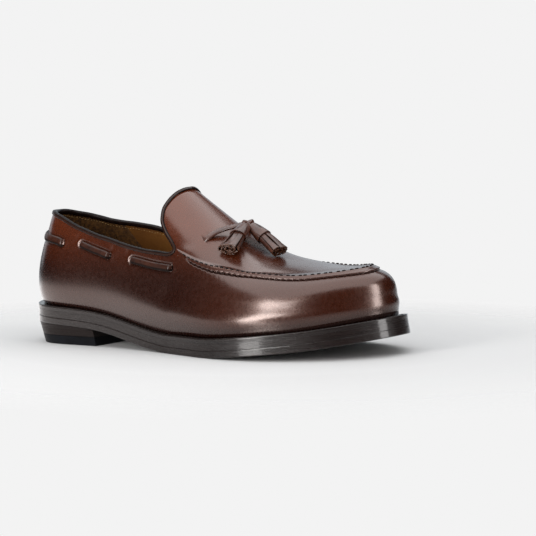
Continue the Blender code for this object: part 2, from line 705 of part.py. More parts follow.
def knot_centre():
    x = KNOT_PLACE[0] * SOLE_LENGTH
    y = KNOT_PLACE[1] * BALL_WIDTH
    ridge = _section(np.array([KNOT_PLACE[0]]))[0, 0] * INSTEP_HEIGHT + float(welt_top(x))
    return np.array([x, y, ridge + CLEARANCE + KNOT_RISE])


def thong_route(side, key, climb):
    """Route of the lace from a front slot up to the knot, in model coordinates."""
    slot = pattern_point(np.array([key]), float(side), np.array([climb]))
    foot = from_pattern(slot)[0]
    lift = 0.5 * THONG_DIAMETER + THONG_LIFT
    normal = normal_at(slot)[0]
    knot = knot_centre()
    reach = 0.5 * KNOT_LENGTH + 2.0 * CLEARANCE
    start = foot + normal * lift
    towards = (start - knot) * (1.0, 0.5, 0.5)
    towards /= np.linalg.norm(towards)
    stop = knot + towards * reach
    middle = 0.5 * (start + stop) + normal * THONG_ARCH
    points = np.array([start, middle, stop])
    run = np.array([0.0, 0.5, 1.0])
    return Spline(run, points)(np.linspace(0.0, 1.0, 9))


def add_thong(name, side, key, climb):
    route = thong_route(side, key, climb)
    curve = bpy.data.curves.new(name, "CURVE")
    curve.dimensions = "3D"
    curve.bevel_depth = 0.5 * THONG_DIAMETER
    curve.bevel_resolution = 2
    curve.use_fill_caps = True
    spline = curve.splines.new("POLY")
    spline.points.add(len(route) - 1)
    for point, place in zip(spline.points, route):
        point.co = (place[0] - heel_middle(), place[1], place[2], 1.0)
    part = bpy.data.objects.new(name, curve)
    curve.materials.append(bpy.data.materials["lace_leather"])
    bpy.data.collections[COLLECTION].objects.link(part)
    return part


def add_knot():
    bpy.ops.mesh.primitive_uv_sphere_add(segments=14, ring_count=8, radius=0.5)
    part = bpy.context.object
    part.name = part.data.name = "lace_knot"
    place = knot_centre()
    for vertex in part.data.vertices:
        vertex.co = (vertex.co.x * KNOT_WIDTH + place[0] - heel_middle(),
                     vertex.co.y * KNOT_LENGTH + place[1], vertex.co.z * KNOT_WIDTH + place[2])
    part.data.materials.append(bpy.data.materials["lace_leather"])
    part.data.shade_smooth()
    for collection in part.users_collection:
        collection.objects.unlink(part)
    bpy.data.collections[COLLECTION].objects.link(part)
    return part


def tassel_frame(direction):
    """Start point beside the knot and three unit axes of a tassel."""
    axis = Vector(direction).normalized()
    side = axis.cross(Vector((0.0, 0.0, 1.0))).normalized()
    up = side.cross(axis).normalized()
    reach = 0.5 * math.hypot(KNOT_LENGTH * axis.y, KNOT_WIDTH * math.hypot(axis.x, axis.z))
    start = Vector(knot_centre()) + axis * (reach + 3.0 * CLEARANCE)
    return np.array(start), np.array(axis), np.array(side), np.array(up)


def strip_place(index, share, side, up):
    """Middle of a strip of the fringe, off the tassel's axis."""
    angle = 2.0 * math.pi * index / STRIP_COUNT
    inner = 0.31 * CAP_MOUTH
    spread = inner + (0.5 * FRINGE_SPREAD - inner) * share ** 1.2
    return side * (math.cos(angle) * spread) + up * (math.sin(angle) * spread * FRINGE_FLATNESS)


def fringe_strip(start, axis, side, up, index):
    """One strip of the fringe, from inside the cap to its cut end."""
    sections = []
    for share in (0.0, 0.35, 0.7, 1.0):
        here = strip_place(index, share, side, up)
        room = min(np.linalg.norm(strip_place(index + way, share, side, up) - here)
                   for way in (-1, 1))
        outward = here / np.linalg.norm(here)
        along = np.cross(outward, axis)
        height = CAP_LENGTH * 0.80 + (FRINGE_LENGTH + 0.20 * CAP_LENGTH) * share
        half = 0.5 * min(STRIP_WIDTH, 0.88 * room)
        thick = 0.5 * STRIP_THICK
        centre = start + axis * height + here
        sections.append([centre + along * (a * half) + outward * (b * thick)
                         for a, b in ((-1, -1), (1, -1), (1, 1), (-1, 1))])
    return sections


def add_tassel(name, direction):
    """Rolled cap with a fringe of strips, all in one solid."""
    start, axis, side, up = tassel_frame(direction)
    rings = []
    for share, width in ((0.0, 0.70), (0.08, 1.0), (0.5, None), (0.93, None), (1.0, 0.97)):
        blend = CAP_NECK + (CAP_MOUTH - CAP_NECK) * share ** 0.9
        radius = 0.5 * (blend if width is None else blend * width)
        turns = np.linspace(0.0, 2.0 * math.pi, 14, endpoint=False)
        rings.append([start + axis * (CAP_LENGTH * share) + side * (math.cos(t) * radius)
                      + up * (math.sin(t) * radius * 0.85) for t in turns])
    cap = add_mesh(name, rings, loft(rings), "lace_leather", smooth=True)
    for index in range(STRIP_COUNT):
        sections = fringe_strip(start, axis, side, up, index)
        strip = add_mesh(f"{name}_strip_{index}", sections, loft(sections), "lace_leather")
        union = cap.modifiers.new(f"strip_{index}", "BOOLEAN")
        union.operation = "UNION"
        union.object = strip
        bpy.data.collections[COLLECTION].objects.unlink(strip)
        bpy.data.collections["cutters"].objects.link(strip)
        strip.hide_render = True
        strip.display_type = "WIRE"
    return cap


def build():
    for old in list(bpy.data.objects):
        bpy.data.objects.remove(old, do_unlink=True)
    for name in (COLLECTION, "cutters"):
        collection = bpy.data.collections.get(name) or bpy.data.collections.new(name)
        if name not in bpy.context.scene.collection.children:
            bpy.context.scene.collection.children.link(collection)
    for name in MATERIALS:
        make_material(name)
    add_welt()
    add_sole()
    add_heel()
    add_insole()
    add_upper()
    add_binding()
    for name, width, places in LACE_BARS:
        add_lace_bar(name, width, places)
    for label, (side, key, climb) in zip(("outer", "inner"), FRONT_SLOTS):
        add_thong(f"lace_thong_{label}", side, key, climb)
    add_knot()
    for name, direction in TASSEL_DIRECTIONS.items():
        add_tassel(name, direction)


build()
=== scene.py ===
"""Looks of the tassel loafer: its leather, lace, tassels and sole, with the light and the camera.

The sizes, tables and shape functions are the ones of the solids, in the same model coordinates: x
from the back edge of the sole, y towards the inner side, z up. placed() moves points to the frame.
"""
import math

import bmesh
import bpy
import numpy as np
from mathutils import Matrix, Vector


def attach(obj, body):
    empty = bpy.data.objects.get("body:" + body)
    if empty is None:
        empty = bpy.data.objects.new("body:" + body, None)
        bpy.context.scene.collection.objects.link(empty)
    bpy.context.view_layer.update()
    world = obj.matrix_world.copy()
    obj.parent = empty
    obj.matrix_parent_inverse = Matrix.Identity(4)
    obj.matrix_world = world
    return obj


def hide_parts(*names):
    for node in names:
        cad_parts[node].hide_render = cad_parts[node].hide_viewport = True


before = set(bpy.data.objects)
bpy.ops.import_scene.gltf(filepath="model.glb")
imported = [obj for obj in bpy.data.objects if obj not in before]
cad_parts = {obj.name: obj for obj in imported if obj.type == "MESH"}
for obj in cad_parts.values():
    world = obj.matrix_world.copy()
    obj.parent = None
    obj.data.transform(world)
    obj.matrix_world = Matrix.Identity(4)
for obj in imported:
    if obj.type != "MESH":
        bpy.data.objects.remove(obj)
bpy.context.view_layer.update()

# Driving sizes of the last, metres
SOLE_LENGTH = 0.300
BALL_WIDTH = 0.108
INSTEP_HEIGHT = 0.093
HEEL_DROP = 0.0159
TOE_SPRING = 0.0136
FLAT_DEPTH = 0.0005

# Sole and heel, metres
WELT_THICK = 0.0030
MIDSOLE_THICK = 0.0042
OUTSOLE_THICK = 0.0046
WELT_WIDTH = 0.0120
WELT_MARGIN = 0.0056
MIDSOLE_INSET = 0.0005
OUTSOLE_INSET = 0.0002
HEEL_LENGTH = 0.0695
HEEL_TAPER = 0.0032
TOP_PIECE_THICK = 0.0062
LIFT_SHARE = 0.90
INSOLE_THICK = 0.0025

# Upper, binding and lace, metres
WALL = 0.0018
CLEARANCE = 0.0003
LASTING_MARGIN = 0.0085
SEAM_HEIGHT = 0.0016
BINDING_DEPTH = 0.0024
BINDING_THICK = 0.0007
LACE_WIDTH = 0.0048
LACE_THICK = 0.0022
THONG_DIAMETER = 0.0038
THONG_LIFT = 0.0008
THONG_ARCH = 0.0014
KNOT_LENGTH = 0.0088
KNOT_WIDTH = 0.0078
CAP_LENGTH = 0.0115
CAP_NECK = 0.0058
CAP_MOUTH = 0.0112
FRINGE_LENGTH = 0.0160
STRIP_THICK = 0.0011

# Outline of the sole at the welt, from the middle of the heel round the outer side.
# Columns: length (share of SOLE_LENGTH), width (share of BALL_WIDTH, inner side positive)
OUTLINE = [
    (0.000, -0.005), (0.016, -0.165), (0.063, -0.285), (0.140, -0.318), (0.250, -0.315),
    (0.367, -0.335), (0.483, -0.385), (0.583, -0.445), (0.667, -0.476), (0.750, -0.462),
    (0.833, -0.393), (0.907, -0.285), (0.966, -0.130), (0.998, 0.060), (0.981, 0.230),
    (0.934, 0.370), (0.860, 0.465), (0.773, 0.513), (0.683, 0.500), (0.593, 0.425),
    (0.500, 0.330), (0.400, 0.272), (0.300, 0.268), (0.200, 0.296), (0.117, 0.305),
    (0.050, 0.255), (0.013, 0.145),
]

# Rise of the sole above its flat spot at the ball.
# Columns: length (share), heel rise (share of HEEL_DROP), toe rise (share of TOE_SPRING)
RISE = [
    (0.000, 1.000, 0.000), (0.133, 0.900, 0.000), (0.267, 0.690, 0.000), (0.367, 0.330, 0.000),
    (0.467, 0.050, 0.000), (0.567, 0.000, 0.000), (0.667, 0.000, 0.130), (0.767, 0.000, 0.325),
    (0.867, 0.000, 0.545), (1.000, 0.000, 1.000),
]

# Inset of the upper's foot from the edge of the welt.
# Columns: length (share), inset (share of WELT_MARGIN)
FOOT_INSET = [
    (0.00, 0.76), (0.15, 0.72), (0.35, 0.54), (0.50, 0.71), (0.65, 0.98), (0.85, 1.00),
    (1.00, 1.00),
]

# Sections of the last.
# Columns: length (share), ridge height above the welt (share of INSTEP_HEIGHT), roundness in
# plan, roundness in height, outer bulge and inner bulge (share of BALL_WIDTH), height of the
# fullest place of the bulge (share of INSTEP_HEIGHT)
SECTIONS = [
    (0.00, 0.955, 2.40, 1.41, 0.047, 0.047, 0.233),
    (0.10, 0.998, 2.37, 1.54, 0.036, 0.037, 0.228),
    (0.25, 1.129, 2.34, 1.74, 0.029, 0.044, 0.218),
    (0.33, 1.137, 2.33, 1.86, 0.028, 0.049, 0.210),
    (0.41, 1.063, 2.35, 2.03, 0.028, 0.054, 0.190),
    (0.48, 0.937, 2.39, 2.20, 0.027, 0.053, 0.168),
    (0.55, 0.773, 2.45, 2.40, 0.023, 0.040, 0.148),
    (0.62, 0.627, 2.53, 2.60, 0.019, 0.026, 0.130),
    (0.69, 0.512, 2.62, 2.80, 0.017, 0.020, 0.115),
    (0.76, 0.448, 2.73, 3.10, 0.015, 0.015, 0.102),
    (0.84, 0.412, 2.88, 3.55, 0.013, 0.013, 0.094),
    (0.92, 0.415, 2.95, 4.50, 0.010, 0.010, 0.090),
    (1.00, 0.410, 3.00, 5.20, 0.008, 0.008, 0.086),
]

# The last's spine, which the ribs of the upper spring from. Shares of length and ball width
SPINE_HEEL = (0.132, 0.000)
SPINE_BALL = (0.690, 0.022)

# Lines of the upper from the back of the heel to the toe. A place on the last is a key and a
# climb. The key runs from -0.25 at the back of the heel to 0 and 1 at the spine's ends and 1.25
# at the toe. The climb runs from 0 at the foot to 1 at the ridge, measured along the leather.
# Columns: foot key, seam key, seam climb, topline key, topline climb, inner topline climb,
# seam height (share of SEAM_HEIGHT)
LINES = [
    (-0.250, -0.250, 0.360, -0.250, 0.611, 0.611, 0.0),
    (-0.140, -0.140, 0.360, -0.150, 0.617, 0.583, 0.0),
    (-0.020, -0.020, 0.345, -0.040, 0.594, 0.549, 0.0),
    (0.100, 0.100, 0.310, 0.090, 0.507, 0.507, 0.0),
    (0.220, 0.220, 0.285, 0.220, 0.450, 0.489, 0.0),
    (0.350, 0.345, 0.275, 0.345, 0.436, 0.487, 0.0),
    (0.470, 0.460, 0.290, 0.455, 0.450, 0.492, 0.0),
    (0.580, 0.560, 0.340, 0.550, 0.482, 0.505, 0.0),
    (0.675, 0.630, 0.445, 0.612, 0.508, 0.522, 0.0),
    (0.765, 0.690, 0.541, 0.634, 0.544, 0.550, 0.3),
    (0.855, 0.760, 0.530, 0.612, 0.578, 0.580, 1.0),
    (0.940, 0.840, 0.528, 0.572, 0.618, 0.618, 1.0),
    (1.020, 0.920, 0.538, 0.542, 0.676, 0.676, 1.0),
    (1.080, 1.000, 0.541, 0.537, 0.736, 0.736, 1.0),
    (1.125, 1.060, 0.520, 0.546, 0.804, 0.804, 1.0),
    (1.165, 1.115, 0.474, 0.557, 0.872, 0.872, 1.0),
    (1.210, 1.175, 0.404, 0.565, 0.937, 0.937, 1.0),
    (1.250, 1.250, 0.322, 0.568, 1.000, 1.000, 1.0),
]

# Straps of the lace that show between two slots, the same on both sides.
# Columns: name, width (share of LACE_WIDTH), sides and places (side, key, climb), back to front
LACE_BARS = [
    ("lace_bar_heel", 1.18, [(-1, 0.010, 0.415), (-1, -0.085, 0.440), (-1, -0.250, 0.455),
                             (1, -0.085, 0.440), (1, 0.010, 0.415)]),
] + [
    (f"lace_bar_{label}_{place}", 1.00, [(side, key, climb) for key, climb in route])
    for label, side in (("outer", -1), ("inner", 1))
    for place, route in (("rear", [(0.103, 0.406), (0.193, 0.366), (0.281, 0.344)]),
                         ("front", [(0.396, 0.366), (0.512, 0.387), (0.639, 0.426)]))
]

# Front slots of the lace, as side, key and climb
FRONT_SLOTS = [(-1, 0.765, 0.709), (1, 0.765, 0.709)]

# Middle of the knot above the ridge of the last: share of SOLE_LENGTH, share of BALL_WIDTH
KNOT_PLACE = (0.613, 0.020)
KNOT_RISE = 0.0108
# Directions of the tassels, outer and inner, as x, y and z
TASSEL_DIRECTIONS = {
    "tassel_outer": (0.18, -0.86, -0.43),
    "tassel_inner": (0.83, 0.00, -0.56),
}


def bracket(x, place):
    """Row before each place, the gap to the next row and the share of that gap passed."""
    place = np.clip(np.asarray(place, float), x[0], x[-1])
    i = np.clip(np.searchsorted(x, place, side="right") - 1, 0, len(x) - 2)
    gap = (x[i + 1] - x[i])[..., None]
    return i, gap, (place - x[i])[..., None] / gap


def cubic(share, gap, low, high, bend_low, bend_high):
    """Value between two rows of a spline, from the rows' values and second derivatives."""
    rest = 1.0 - share
    curved = (rest ** 3 - rest) * bend_low + (share ** 3 - share) * bend_high
    return rest * low + share * high + curved * gap * gap / 6.0


class Spline:
    """Natural or closed cubic spline through rows of (place, value, value, ...)."""

    def __init__(self, places, values, closed=False):
        self.x = np.asarray(places, float)
        self.y = np.asarray(values, float).reshape(len(self.x), -1)
        step = np.diff(self.x)
        slope = np.diff(self.y, axis=0) / step[:, None]
        last = len(self.x) - 1
        matrix, right = np.eye(last + 1), np.zeros_like(self.y)
        for i in range(0 if closed else 1, last):
            matrix[i, i - 1 if i else last - 1] = step[i - 1]
            matrix[i, i:i + 2] = 2.0 * (step[i - 1] + step[i]), step[i]
            right[i] = 6.0 * (slope[i] - slope[i - 1])
        if closed:
            matrix[last, 0] = -1.0
        self.bend = np.linalg.solve(matrix, right)

    def __call__(self, place):
        i, gap, share = bracket(self.x, place)
        return cubic(share, gap, self.y[i], self.y[i + 1], self.bend[i], self.bend[i + 1])


class Table:
    """Columns of a table, each read at any place as a curve that never overshoots its rows."""

    def __init__(self, rows, places=None):
        data = np.array(rows, float)
        self.x = data[:, 0] if places is None else np.asarray(places, float)
        self.y = data[:, 1:] if places is None else data
        step = np.diff(self.x)[:, None]
        slope = np.diff(self.y, axis=0) / step
        self.tangent = np.zeros_like(self.y)
        self.tangent[[0, -1]] = slope[[0, -1]]
        before, after = slope[:-1], slope[1:]
        same = before * after > 0.0
        w1, w2 = 2.0 * step[1:] + step[:-1], step[1:] + 2.0 * step[:-1]
        mean = w1 / np.where(same, before, 1.0) + w2 / np.where(same, after, 1.0)
        self.tangent[1:-1] = np.where(same, (w1 + w2) / np.where(same, mean, 1.0), 0.0)

    def __call__(self, place):
        i, gap, t = bracket(self.x, place)
        rise = (self.y[i + 1] - self.y[i]) * t * t * (3.0 - 2.0 * t)
        bend = t * (1.0 - t) ** 2 * self.tangent[i] - t * t * (1.0 - t) * self.tangent[i + 1]
        return self.y[i] + rise + bend * gap


def unit(vectors):
    """The vectors at length 1."""
    vectors = np.asarray(vectors, float)
    return vectors / np.maximum(np.linalg.norm(vectors, axis=-1, keepdims=True), 1e-12)


def path_run(points):
    """Distance of each point of a path from its start, along the path."""
    steps = np.linalg.norm(np.diff(points, axis=0), axis=1)
    return np.concatenate([[0.0], np.cumsum(steps)])


def smooth_loop(rows, count):
    """Closed plan curve through the rows, as evenly spaced points."""
    points = np.array([*rows, rows[0]], float) * (SOLE_LENGTH, BALL_WIDTH)
    chord = np.sqrt(np.linalg.norm(np.diff(points, axis=0), axis=1))
    place = np.concatenate([[0.0], np.cumsum(chord)])
    fine = Spline(place, points, closed=True)(np.linspace(0.0, place[-1], 4 * count + 1))
    run = path_run(fine)
    even = np.linspace(0.0, run[-1], count, endpoint=False)
    return np.column_stack([np.interp(even, run, fine[:, 0]), np.interp(even, run, fine[:, 1])])


def inset_loop(loop, amount):
    """The loop moved inwards by a distance, or by one distance for each point."""
    along = unit(np.roll(loop, -1, 0) - np.roll(loop, 1, 0))
    inwards = np.column_stack([-along[:, 1], along[:, 0]])
    return loop + inwards * np.broadcast_to(amount, len(loop))[:, None]


SOLE_EDGE = smooth_loop(OUTLINE, 1440)
STACK = WELT_THICK + MIDSOLE_THICK + OUTSOLE_THICK + 2.0 * CLEARANCE
_rise = Spline([r[0] for r in RISE], [r[1:] for r in RISE])
_section = Spline([r[0] for r in SECTIONS], [r[1:] for r in SECTIONS])
_foot_inset = Table(FOOT_INSET)


def welt_top(x):
    """Height of the welt's top above the floor."""
    share = _rise(np.asarray(x, float) / SOLE_LENGTH)
    rise = share[..., 0] * HEEL_DROP + share[..., 1] * TOE_SPRING
    return STACK + np.maximum(0.0, rise - FLAT_DEPTH)


def welt_slope(x):
    """Slope of the welt's top along the shoe."""
    step = 0.0005
    return (welt_top(x + step) - welt_top(x - step)) / (2.0 * step)


def below(x, depth):
    """Place and height, on the normal of the welt's top, of a point this deep in the sole."""
    slope = welt_slope(x)
    length = np.sqrt(1.0 + slope * slope)
    return x + slope / length * depth, welt_top(x) - depth / length


FOOT = inset_loop(SOLE_EDGE, _foot_inset(SOLE_EDGE[:, 0] / SOLE_LENGTH)[:, 0] * WELT_MARGIN)
SPINE_A = np.array(SPINE_HEEL) * (SOLE_LENGTH, BALL_WIDTH)
SPINE_B = np.array(SPINE_BALL) * (SOLE_LENGTH, BALL_WIDTH)
SPINE_LENGTH = float(np.linalg.norm(SPINE_B - SPINE_A))
FORWARD = (SPINE_B - SPINE_A) / SPINE_LENGTH
INWARD = np.array([-FORWARD[1], FORWARD[0]])


def rib_at(key, side):
    """Plan point on the spine and unit direction of the rib with this key."""
    key, side = np.broadcast_arrays(np.asarray(key, float), np.asarray(side, float))
    heel_angle = np.clip(-key, 0.0, None) * 2.0 * math.pi
    toe_angle = np.clip(key - 1.0, 0.0, None) * 2.0 * math.pi
    along = np.sin(toe_angle) - np.sin(heel_angle)
    across = side * np.cos(toe_angle + heel_angle)
    start = SPINE_A + (np.clip(key, 0.0, 1.0) * SPINE_LENGTH)[..., None] * FORWARD
    return start, along[..., None] * FORWARD + across[..., None] * INWARD


def key_of(point):
    """Key, side and distance from the spine of a plan or pattern point."""
    along, across = (point - SPINE_A) @ FORWARD, (point - SPINE_A) @ INWARD
    past, wide = along - SPINE_LENGTH, np.abs(across)
    turn = 2.0 * math.pi
    heel, toe = -np.arctan2(-along, wide) / turn, 1.0 + np.arctan2(past, wide) / turn
    key = np.where(along < 0.0, heel, np.where(past > 0.0, toe, along / SPINE_LENGTH))
    aside = np.hypot(np.where(along < 0.0, along, np.maximum(past, 0.0)), wide)
    return key, np.where(across >= 0.0, 1.0, -1.0), aside


def side_table(values, keys, sides, side):
    """Sorted keys and values of one side, to read between."""
    mine = sides == side
    order = np.argsort(keys[mine])
    return keys[mine][order], values[mine][order]


_foot_key, _foot_side, _foot_reach = key_of(FOOT)
REACH = {s: side_table(_foot_reach, _foot_key, _foot_side, s) for s in (-1.0, 1.0)}


def by_side(tables, key, side):
    """Values at each key, read from the table of its own side."""
    return np.where(side > 0, np.interp(key, *tables[1.0]), np.interp(key, *tables[-1.0]))


def last_point(key, side, turn):
    """Point on the last: turn 0 at the foot and 1 at the ridge."""
    key, side, turn = np.broadcast_arrays(key, side, turn)
    start, outward = rib_at(key, side)
    reach = by_side(REACH, key, side)
    share = np.clip((start + outward * reach[..., None])[..., 0] / SOLE_LENGTH, 0.0, 1.0)
    _, plan, height, outer, inner, full_at = np.moveaxis(_section(share), -1, 0)
    angle = turn * (0.5 * math.pi)
    plan_xy = start + outward * (reach * np.cos(angle) ** (2.0 / plan))[..., None]
    x = plan_xy[..., 0]
    tall = _section(np.clip(x / SOLE_LENGTH, 0.0, 1.0))[..., 0] * INSTEP_HEIGHT
    # The bulge is nothing at the foot and at the ridge, and fullest at the section's height
    full = np.arcsin(np.clip(full_at * INSTEP_HEIGHT / tall, 0.05, 0.9) ** (0.5 * height))
    power = 1.0 / np.tan(full) ** 2
    swell = np.sin(angle) * np.cos(angle) ** power / (np.sin(full) * np.cos(full) ** power)
    mean = 0.5 * (outer + inner)
    across = np.abs(outward @ INWARD)
    bulge = mean + (np.where(side > 0, inner, outer) - mean) * across
    plan_xy = plan_xy + outward * (bulge * BALL_WIDTH * swell)[..., None]
    z = welt_top(plan_xy[..., 0]) + CLEARANCE + tall * np.sin(angle) ** (2.0 / height)
    return np.concatenate([plan_xy, z[..., None]], -1)


TURNS = np.linspace(0.0, 1.0, 41) ** 1.35
RIB_KEYS = np.linspace(-0.25, 1.25, 121)


def rib_tables(side):
    """For one side, the length of each rib and its share climbed at each of the turns."""
    ribs = last_point(RIB_KEYS[:, None], side, TURNS[None, :])
    run = np.cumsum(np.linalg.norm(np.diff(ribs, axis=1), axis=2), axis=1)
    run = np.column_stack([np.zeros(len(RIB_KEYS)), run])
    return run[:, -1], run / run[:, -1:]


RIBS = {s: rib_tables(s) for s in (-1.0, 1.0)}


def rib_length(key, side):
    """Length of a rib along the leather."""
    return by_side({s: (RIB_KEYS, RIBS[s][0]) for s in RIBS}, key, side)


def turn_at(key, side, climb):
    """The turn at which a rib has climbed this share of its length."""
    result = np.empty(np.shape(key))
    spot = np.clip((key - RIB_KEYS[0]) / (RIB_KEYS[1] - RIB_KEYS[0]), 0, len(RIB_KEYS) - 1.001)
    low = spot.astype(int)
    part = (spot - low)[..., None]
    for s in RIBS:
        mine = side == s
        if not mine.any():
            continue
        shares = RIBS[s][1]
        row = shares[low[mine]] * (1.0 - part[mine]) + shares[low[mine] + 1] * part[mine]
        goal = climb[mine][..., None]
        step = np.clip((row <= goal).sum(-1) - 1, 0, len(TURNS) - 2)
        here = np.take_along_axis(row, step[..., None], -1)[..., 0]
        there = np.take_along_axis(row, step[..., None] + 1, -1)[..., 0]
        blend = np.clip((climb[mine] - here) / (there - here), 0.0, 1.0)
        result[mine] = TURNS[step] + blend * (TURNS[step + 1] - TURNS[step])
    return result


def pattern_point(key, side, climb):
    """Flat pattern of the upper: the ribs laid out straight from the spine."""
    key, side, climb = np.broadcast_arrays(*(np.asarray(v, float) for v in (key, side, climb)))
    start, outward = rib_at(key, side)
    return start + outward * (rib_length(key, side) * (1.0 - climb))[..., None]


def from_pattern(point):
    """Point on the last of a point of the flat pattern."""
    key, side, aside = key_of(point)
    climb = np.clip(1.0 - aside / rib_length(key, side), 0.0, 1.0)
    return last_point(key, side, turn_at(key, side, climb))


def normal_at(point):
    """Outward unit normal of the last at a pattern point."""
    step = 0.0004
    ahead = from_pattern(point + (step, 0.0)) - from_pattern(point - (step, 0.0))
    aside = from_pattern(point + (0.0, step)) - from_pattern(point - (0.0, step))
    return unit(np.cross(ahead, aside))


def pattern_lines(per_station):
    """Foot, seam and topline of the whole upper as closed pattern curves, and seam height."""
    spans = len(LINES) - 1
    place = np.linspace(0.0, spans, spans * per_station + 1)
    # A mirrored row past each end keeps the lines smooth across the back and the toe
    before, after = np.array(LINES[1]), np.array(LINES[-2])
    keys = [0, 1, 3]
    before[keys] = 2.0 * np.array(LINES[0])[keys] - before[keys]
    after[keys[:2]] = 2.0 * np.array(LINES[-1])[keys[:2]] - after[keys[:2]]
    table = Table([before, *LINES, after], np.arange(-1, spans + 2))(place)
    parts = []
    for side, rows in ((-1.0, table), (1.0, table[-2:0:-1])):
        foot, seam, seam_climb, top, outer_top, inner_top, lift = rows.T
        parts.append((pattern_point(foot, side, 0.0), pattern_point(seam, side, seam_climb),
                      pattern_point(top, side, inner_top if side > 0.0 else outer_top), lift))
    return [np.concatenate(pair) for pair in zip(*parts)]


def widths(loop, stations):
    """Outer and inner y of a plan loop at each station."""
    heel, toe = loop[:, 0].argmin(), loop[:, 0].argmax()
    turned = np.roll(loop, -heel, 0)
    split = (toe - heel) % len(loop)
    outer, inner = turned[:split + 1], np.vstack([turned[split:], turned[:1]])[::-1]
    return (np.interp(stations, outer[:, 0], outer[:, 1]),
            np.interp(stations, inner[:, 0], inner[:, 1]))


def outsole_underside(x):
    """Height of the outsole's underside at a place along the shoe."""
    stations = np.linspace(0.0, SOLE_LENGTH, 301)
    low_x, low_z = below(stations, STACK)
    return np.interp(x, low_x, low_z)


def surface_path(places, count):
    """Pattern points along a route on the last that may cross from side to side at the back."""
    rows = np.array([pattern_point(key, side, climb) for side, key, climb in places])
    run = path_run(rows)
    return Spline(run / run[-1], rows)(np.linspace(0.0, 1.0, count))


def knot_centre():
    """Middle of the knot above the last's ridge."""
    x, y = KNOT_PLACE[0] * SOLE_LENGTH, KNOT_PLACE[1] * BALL_WIDTH
    ridge = _section(KNOT_PLACE[0])[0] * INSTEP_HEIGHT + float(welt_top(x))
    return np.array([x, y, ridge + CLEARANCE + KNOT_RISE])


def thong_route(side, key, climb):
    """Route of the lace from a front slot up to the knot, the slot, its normal and its way out."""
    slot = pattern_point(np.array([key]), float(side), np.array([climb]))
    foot, normal = from_pattern(slot)[0], normal_at(slot)[0]
    start = foot + normal * (0.5 * THONG_DIAMETER + THONG_LIFT)
    towards = unit((start - KNOT) * (1.0, 0.5, 0.5))
    stop = KNOT + towards * (0.5 * KNOT_LENGTH + 2.0 * CLEARANCE)
    middle = 0.5 * (start + stop) + normal * THONG_ARCH
    route = Spline([0.0, 0.5, 1.0], [start, middle, stop])(np.linspace(0.0, 1.0, 9))
    away = unit(route[0] - route[2])
    return route, foot, normal, unit(away - normal * (away @ normal))


KNOT = knot_centre()

# How finely the surfaces are drawn
SKIN_PER_STATION = 24
BASE_PER_STATION = 4
BASE_ROWS = 12
LOWER_ROWS = 23
UPPER_ROWS = 30
LINING_STEP = 2

# Rows of the skin beside the apron's seam. Columns: from, to (metres above the seam), rows
SEAM_REACH = 0.0085
SEAM_ROWS = [(-SEAM_REACH, -0.0038, 6), (-0.0038, -0.0014, 15), (-0.0014, 0.0018, 8),
             (0.0018, 0.0036, 8), (0.0036, SEAM_REACH, 7)]

# Fine forms that only show close up, metres
STITCH_PITCH = 0.0041
STITCH_LENGTH = 0.0028
STITCH_RADIUS = 0.00046
STITCH_OFFSET = 0.0032
SEAM_EDGE = 0.0024
SEAM_CREST = 0.0024
SEAM_GROOVE = 0.00045
SEAM_LIP = 0.00045
SCALLOP_DEPTH = 0.0005
GATHER_DEPTH = 0.00012
GATHER_REACH = 0.0024
SLOT_RIM = 0.00022
SLOT_REACH = 0.016
SLIT_DEPTH = 0.0013
PRESS_DEPTH = 0.00042
PRESS_REACH = 0.008
BAR_SUNK = 0.0004
HEEL_BAR_SUNK = 0.0009
BAR_DIP = 0.0011
THONG_DIP = 0.0012
LINING_STITCH_DEPTH = 0.0040
LINING_STITCH_LENGTH = 0.0013
LINING_STITCH_RADIUS = 0.00022
WHEEL_PITCH = 0.0021
WHEEL_DEPTH = 0.00022
WELT_GROOVE = 0.0026
WELT_STITCH_PITCH = 0.0032
LAYER_CLOSER = 0.00016
STRAP_WIDTH = 0.0043
STRAP_DEPTH = 0.0023
KNOT_STRAP = (0.00175, 0.00125)
CAP_SINK = 0.0022
CAP_FLATNESS = 0.85
STRIP_HIDDEN = 0.0035
STRIP_HALF = 0.448
# Half widths of the bundle of strips (metres): across and up at the cap, across and up at the end
BUNDLE = (0.0047, 0.0039, 0.0076, 0.0037)
# Columns: strips, size of the layer, its turn (share of a strip)
STRIP_LAYERS = [(8, 1.00, 0.0), (6, 0.68, 0.5), (3, 0.38, 0.2)]

# A stitch from end to end. Columns: place (share of its length), girth and sink (shares of radius)
STITCH_SHAPE = [(-0.5, 0.35, 1.0), (-0.36, 0.9, 0.1), (0.0, 1.0, 0.0), (0.36, 0.9, 0.1),
                (0.5, 0.35, 1.0)]

# Slanted seam in front of the heel grip: place at a height, slope, and that height, metres
GRIP_SEAM = (0.054, -0.75, 0.075)

UP = np.array([0.0, 0.0, 1.0])

# Colour of painted shade on leather, as deep in a crease, and the background as the camera sees it
# and as light
SHADED_LEATHER = (0.0030, 0.0015, 0.0012)
BACKGROUND_SEEN = 0.896
BACKGROUND_LIGHT = 0.015


def placed(points):
    """Model points in the frame, whose origin is at the middle of the heel."""
    return np.asarray(points, float) - (0.5 * HEEL_LENGTH, 0.0, 0.0)


def ramp(value, low, high):
    """Smooth step from 0 at low to 1 at high."""
    t = np.clip((np.asarray(value, float) - low) / (high - low), 0.0, 1.0)
    return t * t * (3.0 - 2.0 * t)


def hump(value, middle, width):
    """Bell curve with its top, 1, at the middle."""
    return np.exp(-((np.asarray(value, float) - middle) / width) ** 2)


